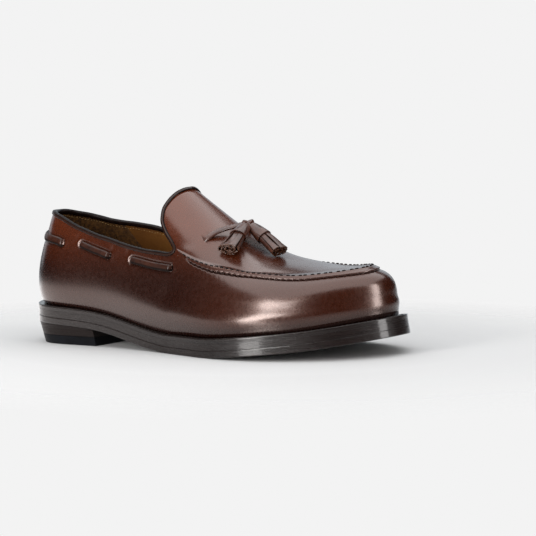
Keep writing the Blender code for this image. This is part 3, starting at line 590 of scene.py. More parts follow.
def grid_faces(rows, columns, flip=False):
    """Quads of a grid of points whose columns run all round, seen from outside."""
    i, j = np.meshgrid(np.arange(rows - 1), np.arange(columns), indexing="ij")
    k = (j + 1) % columns
    quads = np.stack([i * columns + j, i * columns + k, (i + 1) * columns + k,
                      (i + 1) * columns + j], -1).reshape(-1, 4)
    return quads[:, ::-1] if flip else quads


def tube_faces(rings, sides, flip=False):
    """Faces of a tube from ring to ring, closed at both ends."""
    faces = [tuple(face) for face in grid_faces(rings, sides, flip=flip)]
    first, last = tuple(range(sides)), tuple((rings - 1) * sides + k for k in range(sides))
    return faces + ([first, last[::-1]] if flip else [first[::-1], last])


def round_turns(count):
    """Angles all round, evenly spaced."""
    return np.arange(count) * 2.0 * math.pi / count


def ellipse(centre, side, up, turn, wide, tall):
    """Points round a centre, these far out along the two directions."""
    return centre + side * (np.cos(turn) * wide)[:, None] + up * (np.sin(turn) * tall)[:, None]


def new_piece(name, points, faces, slot, material, replaced, turned=True, **attributes):
    """Mesh object that rides on the shoe and stands for the named CAD nodes.

    An attribute is one value or one for each point. A look reads a missing one as 0.
    """
    mesh = bpy.data.meshes.new(name)
    faces = faces.tolist() if isinstance(faces, np.ndarray) else faces
    mesh.from_pydata(placed(np.asarray(points, float).reshape(-1, 3)).tolist(), [], faces)
    if turned:
        shape = bmesh.new()
        shape.from_mesh(mesh)
        bmesh.ops.recalc_face_normals(shape, faces=shape.faces)
        shape.to_mesh(mesh)
        shape.free()
    for label, values in attributes.items():
        layer = mesh.attributes.new(label, "FLOAT", "POINT")
        each = np.broadcast_to(np.ravel(values), len(mesh.vertices))
        layer.data.foreach_set("value", np.ascontiguousarray(each, np.float32))
    mesh.shade_smooth()
    made = bpy.data.objects.new(name, mesh)
    mesh.materials.append(material)
    bpy.context.scene.collection.objects.link(made)
    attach(made, "root")
    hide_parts(replaced)
    return made


def joined(parts):
    """One set of points and faces from several, with their offsets."""
    points, faces, base = [], [], 0
    for part_points, part_faces in parts:
        part_points = np.asarray(part_points, float).reshape(-1, 3)
        points.append(part_points)
        faces += [tuple(int(v) + base for v in face) for face in part_faces]
        base += len(part_points)
    return np.vstack(points), faces


def column_spline(knots, values, places):
    """Natural cubic through the rows of a grid, read at other places in each column."""
    bend = Spline(knots, values.reshape(len(knots), -1)).bend.reshape(values.shape)
    i, gap, share = bracket(knots, places)
    column = np.broadcast_to(np.arange(values.shape[1]), places.shape)
    return cubic(share, gap, values[i, column], values[i + 1, column], bend[i, column],
                 bend[i + 1, column])


class Skin:
    """The upper's outer surface, drawn finely and without the small forms.

    Columns run all round from the back of the heel over the outer side. Rows run from the foot to
    the topline and crowd round the apron's seam. A row's place is 0 at the foot, 1 at the seam
    and 2 at the topline.
    """

    def __init__(self):
        foot, seam, top, lift = pattern_lines(BASE_PER_STATION)
        share = np.arange(BASE_ROWS + 1.0) / BASE_ROWS
        knots = np.concatenate([share[:-1] ** 1.15, 1.0 + share])
        rows = np.concatenate([foot + (seam - foot) * (share[:-1] ** 1.15)[:, None, None],
                               seam + (top - seam) * share[:, None, None]])
        count = rows.shape[1]
        fine = count * SKIN_PER_STATION // BASE_PER_STATION
        around = np.arange(fine) * (count / fine)

        def drawn(values):
            values = np.moveaxis(values, 1, 0).reshape(count, -1)
            looped = np.vstack([values, values[:1]])
            return Spline(np.arange(count + 1), looped, closed=True)(around)

        base, facing = (np.moveaxis(drawn(values).reshape(fine, len(rows), 3), 0, 1)
                        for values in (from_pattern(rows), normal_at(rows)))
        self.down = drawn(np.linalg.norm(foot - seam, axis=1)[None])[:, 0]
        self.up = drawn(np.linalg.norm(top - seam, axis=1)[None])[:, 0]
        self.lift = ramp(drawn(lift[None])[:, 0], 0.35, 0.80)
        room = np.minimum(1.0, 0.62 * self.up / SEAM_REACH)
        lower = np.linspace(0.0, 1.0, LOWER_ROWS, endpoint=False)[:, None] ** 0.9
        near = np.concatenate([np.linspace(*span, endpoint=False) for span in SEAM_ROWS])[:, None]
        start = 1.0 + SEAM_REACH * room / self.up
        near = 1.0 + near * np.where(near < 0.0, 1.0 / self.down, room / self.up)
        upper = start + (2.0 - start) * np.linspace(0.0, 1.0, UPPER_ROWS)[:, None]
        places = np.vstack([(1.0 - SEAM_REACH / self.down) * lower, near, upper])
        self.distance = (places - 1.0) * np.where(places < 1.0, self.down, self.up)
        self.points = column_spline(knots, base, places)
        self.normals = unit(column_spline(knots, facing, places))
        run = path_run(column_spline(knots, base, np.ones((1, fine)))[0])
        self.run = run - run[fine // 2]


def seam_forms(skin):
    """Height and painted shade of the raised apron seam with its gathers, over the whole skin.

    distance is metres above the seam line. The roll rises from its scalloped edge to the crest
    by the stitches and fades out over the apron. Below the edge the leather is gathered.
    """
    distance, run, lift = skin.distance, skin.run[None], skin.lift[None]
    beat = run / STITCH_PITCH
    pinch = hump(beat - np.round(beat), 0.0, 0.25)
    edge = -SEAM_EDGE - SCALLOP_DEPTH * (0.5 - pinch)
    rise = ramp(distance, edge - 0.00010, edge + 0.00060)
    dome = 0.60 + 0.40 * ramp(distance, -SEAM_EDGE, SEAM_CREST)
    groove = hump(distance, STITCH_OFFSET + 0.0001, SEAM_GROOVE)
    fade = 1.0 - 0.30 * ramp(distance, 0.0034, 0.0052) - 0.70 * ramp(distance, 0.0040, 0.0140)
    band = rise * dome * fade * ramp(skin.up[None] - distance, 0.0008, 0.0050)
    under = np.where(distance < edge, np.exp((distance - edge) / GATHER_REACH), 0.0)
    lip = hump(distance, edge - 0.00040, 0.00040)
    height = lift * (SEAM_HEIGHT * (1.22 * band - 0.10 * groove) - SEAM_LIP * lip
                     + GATHER_DEPTH * under * (0.35 - pinch))
    # Painted shade: a dark line under the scalloped edge, in the stitch groove and between the
    # gathers.
    shade = lift * (hump(distance, edge - 0.00015, 0.00042) * (0.80 + 0.20 * pinch)
                    + 0.45 * groove * pinch + 0.10 * under * pinch)
    return height, np.clip(shade, 0.0, 1.0)


def near_line(skin, line, reach):
    """Indices of the skin's points in a box round a line, and their offsets from its points."""
    flat = skin.points.reshape(-1, 3)
    index = np.flatnonzero(((flat > line.min(0) - reach) & (flat < line.max(0) + reach)).all(1))
    return index, flat[index][:, None] - line[None]


def strap_axes(places, count):
    """Centre line, direction, cross direction and normal of a strap on the upper."""
    path = surface_path(places, count)
    centre, normal = from_pattern(path), normal_at(path)
    tangent = unit(np.gradient(centre, axis=0))
    return centre, tangent, unit(np.cross(normal, tangent)), normal


def slot_ends():
    """Each end of each strap and thong: its point, the way out, the way across, half its width."""
    ends = []
    for _, width, places in LACE_BARS:
        centre, tangent, across, _ = strap_axes(places, 41)
        ends += [(centre[k], sign * tangent[k], across[k], 0.5 * LACE_WIDTH * width)
                 for k, sign in ((0, -1.0), (-1, 1.0))]
    for slot in FRONT_SLOTS:
        _, point, normal, away = thong_route(*slot)
        ends.append((point, away, np.cross(normal, away), 0.5 * STRAP_WIDTH))
    return ends


def slot_forms(skin):
    """Height and painted shade of the puckered rims and the slits where the lace goes in, and of
    the pressed leather beside the straps.
    """
    height, shade = np.zeros(skin.distance.shape), np.zeros(skin.distance.shape)
    for point, away, across, half in slot_ends():
        offset = skin.points - point
        near = np.linalg.norm(offset, axis=-1) < SLOT_REACH
        a, b = offset[near] @ away, offset[near] @ across
        arc = a + 0.35 * b * b / half
        rim = hump(arc, 0.0020, 0.0014) * hump(b, 0.0, half * 1.3)
        slit = hump(arc, 0.00015, 0.00050) * (1.0 - ramp(np.abs(b), half * 0.90, half * 1.10))
        side = hump(np.abs(b), half + 0.0010, 0.0009) * ramp(-a, -0.0016, 0.0006)
        side *= 1.0 - ramp(-a, 0.0035, 0.0075)
        height[near] += SLOT_RIM * (rim + 0.20 * side) - SLIT_DEPTH * slit
        # Painted shade in the slits and beside the strap ends.
        shade[near] = np.maximum(shade[near], np.clip(1.15 * slit + 0.22 * side, 0.0, 1.0))
    for _, width, places in LACE_BARS:
        centre, _, across, _ = strap_axes(places, 81)
        index, gap = near_line(skin, centre, PRESS_REACH)
        nearest = (gap ** 2).sum(-1).argmin(1)
        sideways = np.abs((gap[np.arange(len(index)), nearest] * across[nearest]).sum(-1))
        inside = (nearest > 0) & (nearest < len(centre) - 1)
        press = inside * hump(sideways, 0.5 * LACE_WIDTH * width + 0.0004, 0.0009)
        height.flat[index] -= PRESS_DEPTH * press
        shade.flat[index] = np.maximum(shade.flat[index], 0.42 * press)
    return height, shade


# Soft folds and swells of the upper, the same on both sides.
# Columns: depth (metres, negative for a ridge), half width (metres), places (key, climb)
FOLDS = [
    (0.00045, 0.0042, [(0.655, 0.575), (0.700, 0.610), (0.745, 0.665)]),
    (-0.00060, 0.0050, [(0.640, 0.500), (0.700, 0.570), (0.770, 0.625)]),
    (0.00030, 0.0026, [(0.010, 0.480), (-0.110, 0.500), (-0.250, 0.512)]),
    (0.00032, 0.0019, [(0.286, 0.362), (0.293, 0.395), (0.296, 0.430)]),
    (0.00032, 0.0019, [(0.390, 0.382), (0.383, 0.410), (0.380, 0.440)]),
    (0.00032, 0.0019, [(0.098, 0.425), (0.090, 0.450), (0.086, 0.475)]),
    (0.00045, 0.0080, [(0.560, 0.200), (0.640, 0.280), (0.690, 0.400)]),
]


def fold_forms(skin):
    """Height of the soft folds over the whole skin."""
    height = np.zeros(skin.distance.shape)
    for depth, half, places in FOLDS:
        for side in (-1, 1):
            line = from_pattern(surface_path([(side, *place) for place in places], 121))
            index, gap = near_line(skin, line, 3.0 * half)
            gap = np.linalg.norm(gap, axis=-1)
            taper = np.sin(math.pi * gap.argmin(1) / (len(line) - 1.0)) ** 1.5
            height.flat[index] -= depth * taper * hump(gap.min(1), 0.0, half)
    return height


class Look:
    """A procedural material laid out in the piece's own coordinates, with its bumps in a chain."""

    def __init__(self, name, **inputs):
        self.material = bpy.data.materials.new(name)
        self.material.use_nodes = True
        self.tree = self.material.node_tree
        self.shader = self.tree.nodes["Principled BSDF"]
        self.place = self.node("TexCoord").outputs["Object"]
        self.bent = None
        self.set(**inputs)

    def feed(self, socket, value):
        if isinstance(value, bpy.types.NodeSocket):
            self.tree.links.new(value, socket)
        else:
            socket.default_value = value

    def set(self, **inputs):
        for name, value in inputs.items():
            self.feed(self.shader.inputs[name.replace("_", " ")], value)

    def node(self, kind, **inputs):
        made = self.tree.nodes.new("ShaderNode" + kind)
        for name, value in inputs.items():
            self.feed(made.inputs[name.replace("_", " ")], value)
        return made

    def noise(self, scale, detail=3.0, rough=0.5, stretch=None):
        place = self.place
        if stretch is not None:
            place = self.node("Mapping", Vector=place, Scale=stretch).outputs["Vector"]
        return self.node("TexNoise", Vector=place, Scale=scale, Detail=detail,
                         Roughness=rough).outputs["Fac"]

    def cells(self, scale):
        return self.node("TexVoronoi", Vector=self.place, Scale=scale).outputs["Distance"]

    def attribute(self, name):
        made = self.node("Attribute")
        made.attribute_name = name
        return made.outputs["Fac"]

    def remap(self, value, low, high, to_low=0.0, to_high=1.0):
        made = self.node("MapRange", Value=value)
        for name, number in zip(("From Min", "From Max", "To Min", "To Max"),
                                (low, high, to_low, to_high)):
            made.inputs[name].default_value = number
        return made.outputs["Result"]

    def times(self, a, b):
        made = self.node("Math")
        made.operation = "MULTIPLY"
        self.feed(made.inputs[0], a)
        self.feed(made.inputs[1], b)
        return made.outputs[0]

    def distance(self, place, point):
        made = self.node("VectorMath", Vector=place)
        made.operation = "DISTANCE"
        made.inputs[1].default_value = point
        return made.outputs["Value"]

    def mix(self, share, a, b):
        made = self.node("Mix")
        made.data_type = "RGBA"
        self.feed(made.inputs[0], share)
        for socket, value in ((made.inputs[6], a), (made.inputs[7], b)):
            self.feed(socket, value if isinstance(value, bpy.types.NodeSocket) else (*value, 1.0))
        return made.outputs[2]

    def shaded(self, colour, coat, shine):
        """Colour, coat and shine, all of which fade to painted shade where the piece's "dark"
        grows.
        """
        dark = self.attribute("dark")
        self.set(Base_Color=self.mix(dark, colour, SHADED_LEATHER),
                 Coat_Weight=self.remap(dark, 0.0, 0.8, coat, 0.0),
                 Specular_IOR_Level=self.remap(dark, 0.0, 0.8, shine, 0.05))

    def bump(self, height, distance):
        made = self.node("Bump", Height=height, Distance=distance, Strength=1.0)
        if self.bent is not None:
            self.feed(made.inputs["Normal"], self.bent)
        self.bent = made.outputs["Normal"]
        self.set(Normal=self.bent)


def calf_look():
    """Polished calf, mottled, darker with painted shade low on its sides, along its foot and round
    its heel.
    """
    look = Look("calf_leather", Coat_Roughness=0.19, Specular_Tint=(1.0, 0.72, 0.64, 1.0))
    mottle = look.remap(look.noise(26.0, 3.0, 0.55), 0.30, 0.70)
    colour = look.mix(mottle, (0.060, 0.0112, 0.0030), (0.075, 0.0152, 0.0040))
    # Painted shade: the colour darkens low on the sides, along the foot and round the back of the
    # heel.
    colour = look.mix(look.attribute("burnish"), colour, (0.0090, 0.0012, 0.0003))
    look.shaded(colour, 0.50, 0.72)
    look.set(Roughness=look.remap(look.noise(420.0, 3.0), 0.3, 0.7, 0.24, 0.31))
    look.bump(look.noise(60.0, 2.0, 0.5), 0.00004)
    look.bump(look.noise(340.0, 4.0, 0.6), 0.000030)
    look.bump(look.noise(1100.0, 3.0, 0.6), 0.000013)
    return look.material


def lace_look():
    """Softer leather of lace and tassels, raw where "cut" says so."""
    look = Look("lace_leather", Coat_Roughness=0.20)
    mottle = look.remap(look.noise(160.0, 4.0, 0.6), 0.35, 0.65)
    colour = look.mix(mottle, (0.034, 0.0095, 0.0050), (0.068, 0.0200, 0.0100))
    colour = look.mix(look.attribute("cut"), colour, (0.070, 0.0230, 0.0085))
    look.shaded(colour, 0.40, 0.5)
    look.set(Roughness=look.remap(look.noise(700.0, 3.0), 0.3, 0.7, 0.30, 0.44))
    look.bump(look.times(look.noise(2100.0, 4.0, 0.7), look.attribute("cut")), 0.00030)
    look.bump(look.noise(520.0, 3.0, 0.6), 0.00005)
    look.bump(look.cells(2300.0), 0.000018)
    return look.material


def binding_look():
    """Near black edge strip, glossier along its crest, where a lighter line is a painted
    highlight.
    """
    look = Look("binding_leather", Specular_IOR_Level=0.08, Coat_Roughness=0.08)
    mottle = look.remap(look.noise(240.0, 3.0), 0.35, 0.65)
    colour = look.mix(mottle, (0.0040, 0.0018, 0.0014), (0.0085, 0.0036, 0.0027))
    # A lighter colour along the crest is a painted highlight; the coat grows there too.
    look.set(Base_Color=look.mix(look.attribute("crest"), colour, (0.030, 0.0125, 0.0085)))
    look.set(Roughness=look.remap(look.noise(700.0, 3.0), 0.3, 0.7, 0.30, 0.42),
             Coat_Weight=look.remap(look.attribute("crest"), 0.0, 1.0, 0.04, 0.8))
    look.bump(look.noise(900.0, 3.0, 0.6), 0.00005)
    return look.material


def lining_look():
    """Golden lining with a rough brown heel grip wherever the piece's "behind" is positive."""
    look = Look("lining_leather", Specular_IOR_Level=0.35)
    behind = look.attribute("behind")
    grip = look.remap(behind, -0.00012, 0.00012)
    edge = look.times(look.remap(behind, -0.0007, -0.0002), look.remap(behind, 0.0006, 0.0001))
    fine = look.noise(1300.0, 4.0, 0.7)
    tone = look.remap(look.noise(60.0, 4.0, 0.6), 0.3, 0.7)
    front = look.mix(tone, (0.105, 0.036, 0.0040), (0.145, 0.056, 0.0070))
    rough = look.mix(look.remap(look.noise(420.0, 4.0, 0.7), 0.38, 0.62), (0.034, 0.013, 0.004),
                     (0.120, 0.053, 0.012))
    colour = look.mix(look.times(edge, 0.8), look.mix(grip, front, rough), (0.020, 0.008, 0.003))
    look.set(Base_Color=colour)
    look.set(Roughness=look.remap(fine, 0.3, 0.7, 0.50, 0.72))
    look.bump(look.times(fine, grip), 0.00030)
    look.bump(look.noise(900.0, 3.0), 0.00008)
    return look.material


def sole_look(name, dark, pale, roughness, coat, shine):
    """Inked edge of stacked leather, its fibres in long flat layers."""
    look = Look(name, Specular_IOR_Level=shine, Coat_Weight=coat, Coat_Roughness=0.12)
    layers = look.noise(26.0, 5.0, 0.70, (1.0, 1.0, 60.0))
    fibres = look.noise(90.0, 3.0, 0.6, (1.0, 1.0, 26.0))
    colour = look.mix(look.remap(layers, 0.32, 0.72), dark, pale)
    # Painted shade where the piece's "dark" grows.
    colour = look.mix(look.attribute("dark"), colour, (0.0028, 0.0022, 0.0020))
    look.set(Base_Color=colour)
    look.set(Roughness=look.remap(fibres, 0.3, 0.7, roughness - 0.06, roughness + 0.10))
    look.bump(layers, 0.00008)
    look.bump(fibres, 0.00009)
    look.bump(look.noise(520.0, 4.0, 0.7), 0.00028)
    return look.material


def rubber_look():
    """Blue-black matt rubber."""
    look = Look("heel_rubber", Specular_IOR_Level=0.06)
    tone = look.remap(look.noise(120.0, 3.0), 0.3, 0.7)
    look.set(Base_Color=look.mix(tone, (0.0024, 0.0028, 0.0038), (0.0050, 0.0058, 0.0078)))
    look.set(Roughness=look.remap(look.noise(900.0, 3.0), 0.3, 0.7, 0.48, 0.66))
    look.bump(look.noise(1800.0, 3.0), 0.00006)
    return look.material


def thread_look(name, colour, roughness):
    """Twisted thread, its strands a little darker than this colour."""
    look = Look(name, Specular_IOR_Level=0.15)
    strands = look.noise(2600.0, 2.0, 0.5)
    dim = tuple(0.55 * c for c in colour)
    look.set(Base_Color=look.mix(look.remap(strands, 0.35, 0.65), dim, colour))
    look.set(Roughness=look.remap(strands, 0.3, 0.7, roughness - 0.05, roughness + 0.10))
    look.bump(strands, 0.00012)
    return look.material


def turned_margin(points, amount, lift):
    """The turned-in margin from the foot of a skin, this high above the welt."""
    margin = inset_loop(points[0, :, :2], amount)
    return np.column_stack([margin, welt_top(margin[:, 0]) + CLEARANCE + lift])[None]


def add_upper(skin, leather):
    """Outer skin from the turned-in margin to the cut edge under the binding.

    Returns its drawn points from foot to edge, without the margin.
    """
    seam_height, seam_shade = seam_forms(skin)
    slot_height, slot_shade = slot_forms(skin)
    height = seam_height + slot_height + fold_forms(skin)
    points = skin.points + skin.normals * height[..., None]
    rim = skin.points[-1] - skin.normals[-1] * WALL
    points = np.concatenate([turned_margin(skin.points, LASTING_MARGIN, 0.0), points, rim[None]])
    # Painted shade along the apron seam, in the slits and beside the straps.
    dark = np.maximum(seam_shade, slot_shade)
    # Painted shade, darker along the foot, low on the sides, a little less towards the toe, and
    # round the back of the heel.
    above = skin.points[..., 2] - skin.points[:1, :, 2]
    foot = np.exp(-(above / 0.0050) ** 2)
    side = 1.0 - ramp(skin.points[..., 2], 0.044, 0.090)
    heel = 0.4 * hump(skin.points[..., 0], 0.0, 0.022)
    side *= 1.0 - 0.25 * ramp(skin.points[..., 0], 0.140, 0.215)
    burnish = np.clip(0.5 * foot + 0.95 * side + heel, 0.0, 1.0)
    pad = [(1, 1), (0, 0)]
    new_piece("upper_skin", points, grid_faces(len(points), points.shape[1]),
              "calf_leather", leather, "upper", dark=np.pad(dark, pad, mode="edge"),
              burnish=np.pad(burnish, pad, mode="edge"), turned=False)
    return points[1:-1]


def add_lining(skin, lining, thread):
    """Inner skin, with the heel grip behind its slanted seam and the stitches that hold it."""
    count = skin.points.shape[1]
    grid = np.ix_(np.append(np.arange(0, len(skin.points) - 1, LINING_STEP), len(skin.points) - 1),
                  np.arange(0, count, LINING_STEP))
    points = skin.points[grid] - skin.normals[grid] * WALL
    points = np.concatenate([turned_margin(points, LASTING_MARGIN - WALL, WALL), points])
    behind = GRIP_SEAM[0] + GRIP_SEAM[1] * (points[..., 2] - GRIP_SEAM[2]) - points[..., 0]
    new_piece("upper_lining", points, grid_faces(len(points), points.shape[1], flip=True),
              "lining_leather", lining, "upper", turned=False, behind=behind)
    places, along, outwards = [], [], []
    for j in range(0, count, 3):
        run = np.linalg.norm(skin.points[:, j] - skin.points[-1, j], axis=1)
        i = int(np.abs(run - LINING_STITCH_DEPTH).argmin())
        places.append(skin.points[i, j] - skin.normals[i, j] * (WALL + 0.0001))
        along.append(unit(skin.points[i, (j + 1) % count] - skin.points[i, j - 1]))
        outwards.append(-skin.normals[i, j])
    add_stitches("lining_stitches", places, along, outwards, LINING_STITCH_LENGTH,
                 LINING_STITCH_RADIUS, thread, "lining_leather", "upper")


def add_stitches(name, places, along, outwards, length, radius, material, slot, replaced):
    """Short threads that dip in at both ends, all in one piece."""
    turn = round_turns(8)
    parts = []
    for place, way, out in zip(places, along, outwards):
        out = unit(out - way * (out @ way))
        rings = [ellipse(place + way * (share * length) - out * (sink * radius * 1.3),
                         np.cross(way, out), out, turn, radius * girth, radius * girth)
                 for share, girth, sink in STITCH_SHAPE]
        parts.append((np.concatenate(rings), tube_faces(len(rings), len(turn))))
    new_piece(name, *joined(parts), slot, material, replaced)


def add_seam_stitches(skin, drawn, thread):
    """Stitches along the crest of the apron seam, on the skin as it is drawn."""
    count = skin.points.shape[1]
    places, along, outwards = [], [], []
    first, last = (int(limit / STITCH_PITCH) for limit in (skin.run[0], skin.run[-1]))
    for n in range(first - 1, last + 1):
        at = (n + 0.5) * STITCH_PITCH
        j = int(np.abs(skin.run - at).argmin())
        if not skin.run[0] < at < skin.run[-1] or skin.lift[j] < 0.10:
            continue
        i = int(np.abs(skin.distance[:, j] - STITCH_OFFSET).argmin())
        places.append(drawn[i, j] + skin.normals[i, j] * (0.55 * STITCH_RADIUS))
        along.append(unit(skin.points[i, (j + 1) % count] - skin.points[i, j - 1]))
        outwards.append(skin.normals[i, j])
    add_stitches("seam_stitches", places, along, outwards, STITCH_LENGTH, STITCH_RADIUS, thread,
                 "calf_leather", "upper")


def add_binding(skin, material):
    """Rolled edge strip over the cut edge of the collar and tongue."""
    edge, normal = skin.points[-1], skin.normals[-1]
    into = unit(np.cross(normal, unit(np.roll(edge, -1, 0) - np.roll(edge, 1, 0))))
    if (into[0] @ (skin.points[-6, 0] - edge[0])) < 0.0:
        into = -into
    for _ in range(6):
        into = unit(into + 0.5 * (np.roll(into, 1, 0) + np.roll(into, -1, 0)))
    outside = CLEARANCE + BINDING_THICK
    inside = WALL + outside
    middle, half = 0.5 * (outside - inside), 0.5 * (outside + inside)
    deep = BINDING_DEPTH - 0.0004
    # Rows: depth from the cut edge, height over the upper, share of painted highlight on the crest
    profile = [(deep, outside - 0.00070, 0.0), (deep - 0.00012, outside - 0.00030, 0.0),
               (deep - 0.0005, outside - 0.00016, 0.3), (0.0009, outside - 0.00012, 1.0),
               (0.0005, outside, 0.3)]
    for turn in np.linspace(0.12, 0.88, 9) * math.pi:
        profile.append((0.0003 - (outside + 0.0003) * math.sin(turn),
                        middle + half * math.cos(turn), 0.0))
    profile += [(0.0006, -inside, 0.0), (deep - 0.0006, -inside, 0.0),
                (deep - 0.00012, -inside + 0.00010, 0.0), (deep, -inside + 0.00060, 0.0)]
    points = np.stack([edge + into * a + normal * b for a, b, _ in profile])
    crest = np.repeat([row[2:] for row in profile], len(edge), 1)
    new_piece("topline_strip", points, grid_faces(len(profile), len(edge)), "binding_leather",
              material, "topline_binding", crest=crest)


def add_lace_bars(material):
    """Flat straps with rounded edges that dip into their slots."""
    for name, width, places in LACE_BARS:
        short = len(places) == 3
        centre, _, across, normal = strap_axes(places, 61 if short else 121)
        run = path_run(centre)
        near = np.minimum(run, run[-1] - run)
        half = 0.5 * LACE_WIDTH * width * (0.80 + 0.20 * ramp(near, 0.0, 0.0030))
        full = 0.45 + 0.55 * ramp(near, 0.0, 0.0028)
        sunk = (BAR_SUNK if short else HEEL_BAR_SUNK) + BAR_DIP * (1.0 - ramp(near, 0.0, 0.0026))
        upward = math.copysign(1.0, float(across[:, 2].mean())) if short else -1.0
        turn = round_turns(28)
        aside = np.cos(turn) * half[:, None]
        above = 0.5 * (1.0 + np.sin(turn)) * (LACE_THICK * full)[:, None] - sunk[:, None]
        points = (centre[:, None] + across[:, None] * aside[..., None]
                  + normal[:, None] * above[..., None])
        # Darker all over, and darker still with painted shade on the underside and lower edge and
        # at the ends, where the straps dip into their slots.
        shaded = np.maximum(np.sin(turn) < 0.05, ramp(-upward * np.cos(turn), 0.1, 0.7))
        dark = 0.48 + 0.60 * (1.0 - ramp(near, 0.0, 0.0016))[:, None] + 0.50 * shaded
        new_piece(name + "_strap", points, tube_faces(*dark.shape, flip=True), "lace_leather",
                  material, name, dark=np.clip(dark, 0.0, 1.0))


def rounded_section(sides=16, power=0.8):
    """Places round a flat section with rounded corners, as shares of half its width and depth."""
    turn = round_turns(sides)
    return [np.sign(v) * np.abs(v) ** power for v in (np.cos(turn), np.sin(turn))]


def add_thong(label, slot, material):
    """One end of the lace, from inside its slot up into the knot."""
    route, foot, normal, away = thong_route(*slot)
    knots = np.vstack([foot + away * 0.0016 - normal * THONG_DIP,
                       foot - away * 0.0050 + normal * THONG_DIP, route[4:],
                       route[-1] + (KNOT - route[-1]) * 0.45])
    run = path_run(knots)
    path = Spline(run, knots)(np.linspace(0.0, run[-1], 61))
    share = np.linspace(0.0, 1.0, len(path))
    across = (np.cross(normal, unit(route[-1] - route[0]))
              + normal * (0.25 * slot[0] * np.sin(math.pi * share))[:, None])
    tangent = unit(np.gradient(path, axis=0))
    across = unit(across - tangent * (across * tangent).sum(-1, keepdims=True))
    thick = (STRAP_DEPTH * (0.85 + 0.15 * ramp(share, 0.0, 0.1)))[:, None, None]
    a, b = (values[None, :, None] * 0.5 for values in rounded_section())
    rings = (path[:, None] + across[:, None] * (a * STRAP_WIDTH)
             + np.cross(tangent, across)[:, None] * (b * thick))
    made = new_piece(f"lace_end_{label}", rings, tube_faces(*rings.shape[:2]), "lace_leather",
                     material, f"lace_thong_{label}")
    return made, path


def add_knot(material):
    """The lace's knot: one strap drawn through itself."""
    turn = round_turns(180)
    loop = np.column_stack([
        np.sin(turn) + 2.0 * np.sin(2.0 * turn), -1.25 * np.sin(3.0 * turn),
        np.cos(turn) - 2.0 * np.cos(2.0 * turn)])
    size = np.array([0.5 * KNOT_WIDTH - 0.0013, 0.5 * KNOT_LENGTH - 0.0016,
                     0.5 * KNOT_WIDTH - 0.0016]) / np.abs(loop).max(0)
    path = loop * size + KNOT - UP * 0.0008
    tangent = unit(np.gradient(np.vstack([path[-2:], path, path[:2]]), axis=0))[2:-2]
    across = unit(np.cross(tangent, unit(path - KNOT)))
    a, b = (values[None, :, None] for values in rounded_section())
    points = (path[:, None] + across[:, None] * (a * KNOT_STRAP[0])
              + np.cross(across, tangent)[:, None] * (b * KNOT_STRAP[1]))
    count, sides = points.shape[:2]
    faces = grid_faces(count + 1, sides) % (count * sides)
    return new_piece("knot_strap", points, faces, "lace_leather", material, "lace_knot")


def tassel_frame(direction):
    """Start point beside the knot and three unit axes of a tassel."""
    axis = unit(direction)
    side = unit(np.cross(axis, UP))
    reach = 0.5 * math.hypot(KNOT_LENGTH * axis[1], KNOT_WIDTH * math.hypot(axis[0], axis[2]))
    return KNOT + axis * (reach + 3.0 * CLEARANCE), axis, side, np.cross(side, axis)


def tassel_cap(start, axis, side, up):
    """Rolled strap round the top of a tassel, with its overlap and its mouth."""
    turn = round_turns(72)
    step = ((turn + 0.9) % (2.0 * math.pi)) / (2.0 * math.pi)
    lap = 0.00042 * ramp(step, 0.0, 0.06) * (1.0 - 0.55 * step)
    start, length = start - axis * CAP_SINK, CAP_LENGTH + CAP_SINK
    rings, dark = [], []

    def add_ring(along, reach, tone):
        rings.append(ellipse(start + axis * along, side, up, turn, reach, reach * CAP_FLATNESS))
        dark.append(np.broadcast_to(tone, turn.shape))

    for share in (*np.linspace(0.0, 0.10, 6, endpoint=False),
                  *np.linspace(0.10, 0.95, 22, endpoint=False), 0.95, 0.985, 1.0):
        radius = 0.5 * (CAP_NECK + (CAP_MOUTH - CAP_NECK) * share ** 0.50)
        radius *= 1.0 - 0.32 * (1.0 - ramp(share, 0.0, 0.10))
        radius *= 1.0 + 0.05 * ramp(share, 0.1, 1.0)
        wave = (0.00010 * np.sin(2.0 * turn + 5.0 * share)
                + 0.00008 * np.sin(5.0 * turn - 7.0 * share))
        # Painted shade along the overlap's edge and at the neck.
        add_ring(length * share, radius - 0.00020 + lap + wave,
                 0.65 * (hump(step, 0.0, 0.012) + hump(step, 1.0, 0.012))
                 + 0.55 * hump(share, 0.0, 0.05))
    # Rings turned into the mouth, darker inwards with painted shade.
    for inset, back, tone in ((0.00045, 0.00002, 0.25), (0.00125, 0.0001, 0.75),
                              (0.0017, 0.0039, 1.0), (0.0043, 0.0041, 1.0)):
        add_ring(length - back, 0.5 * CAP_MOUTH * 1.05 - inset, tone)
    return np.vstack(rings), tube_faces(len(rings), len(turn)), np.ravel(dark)


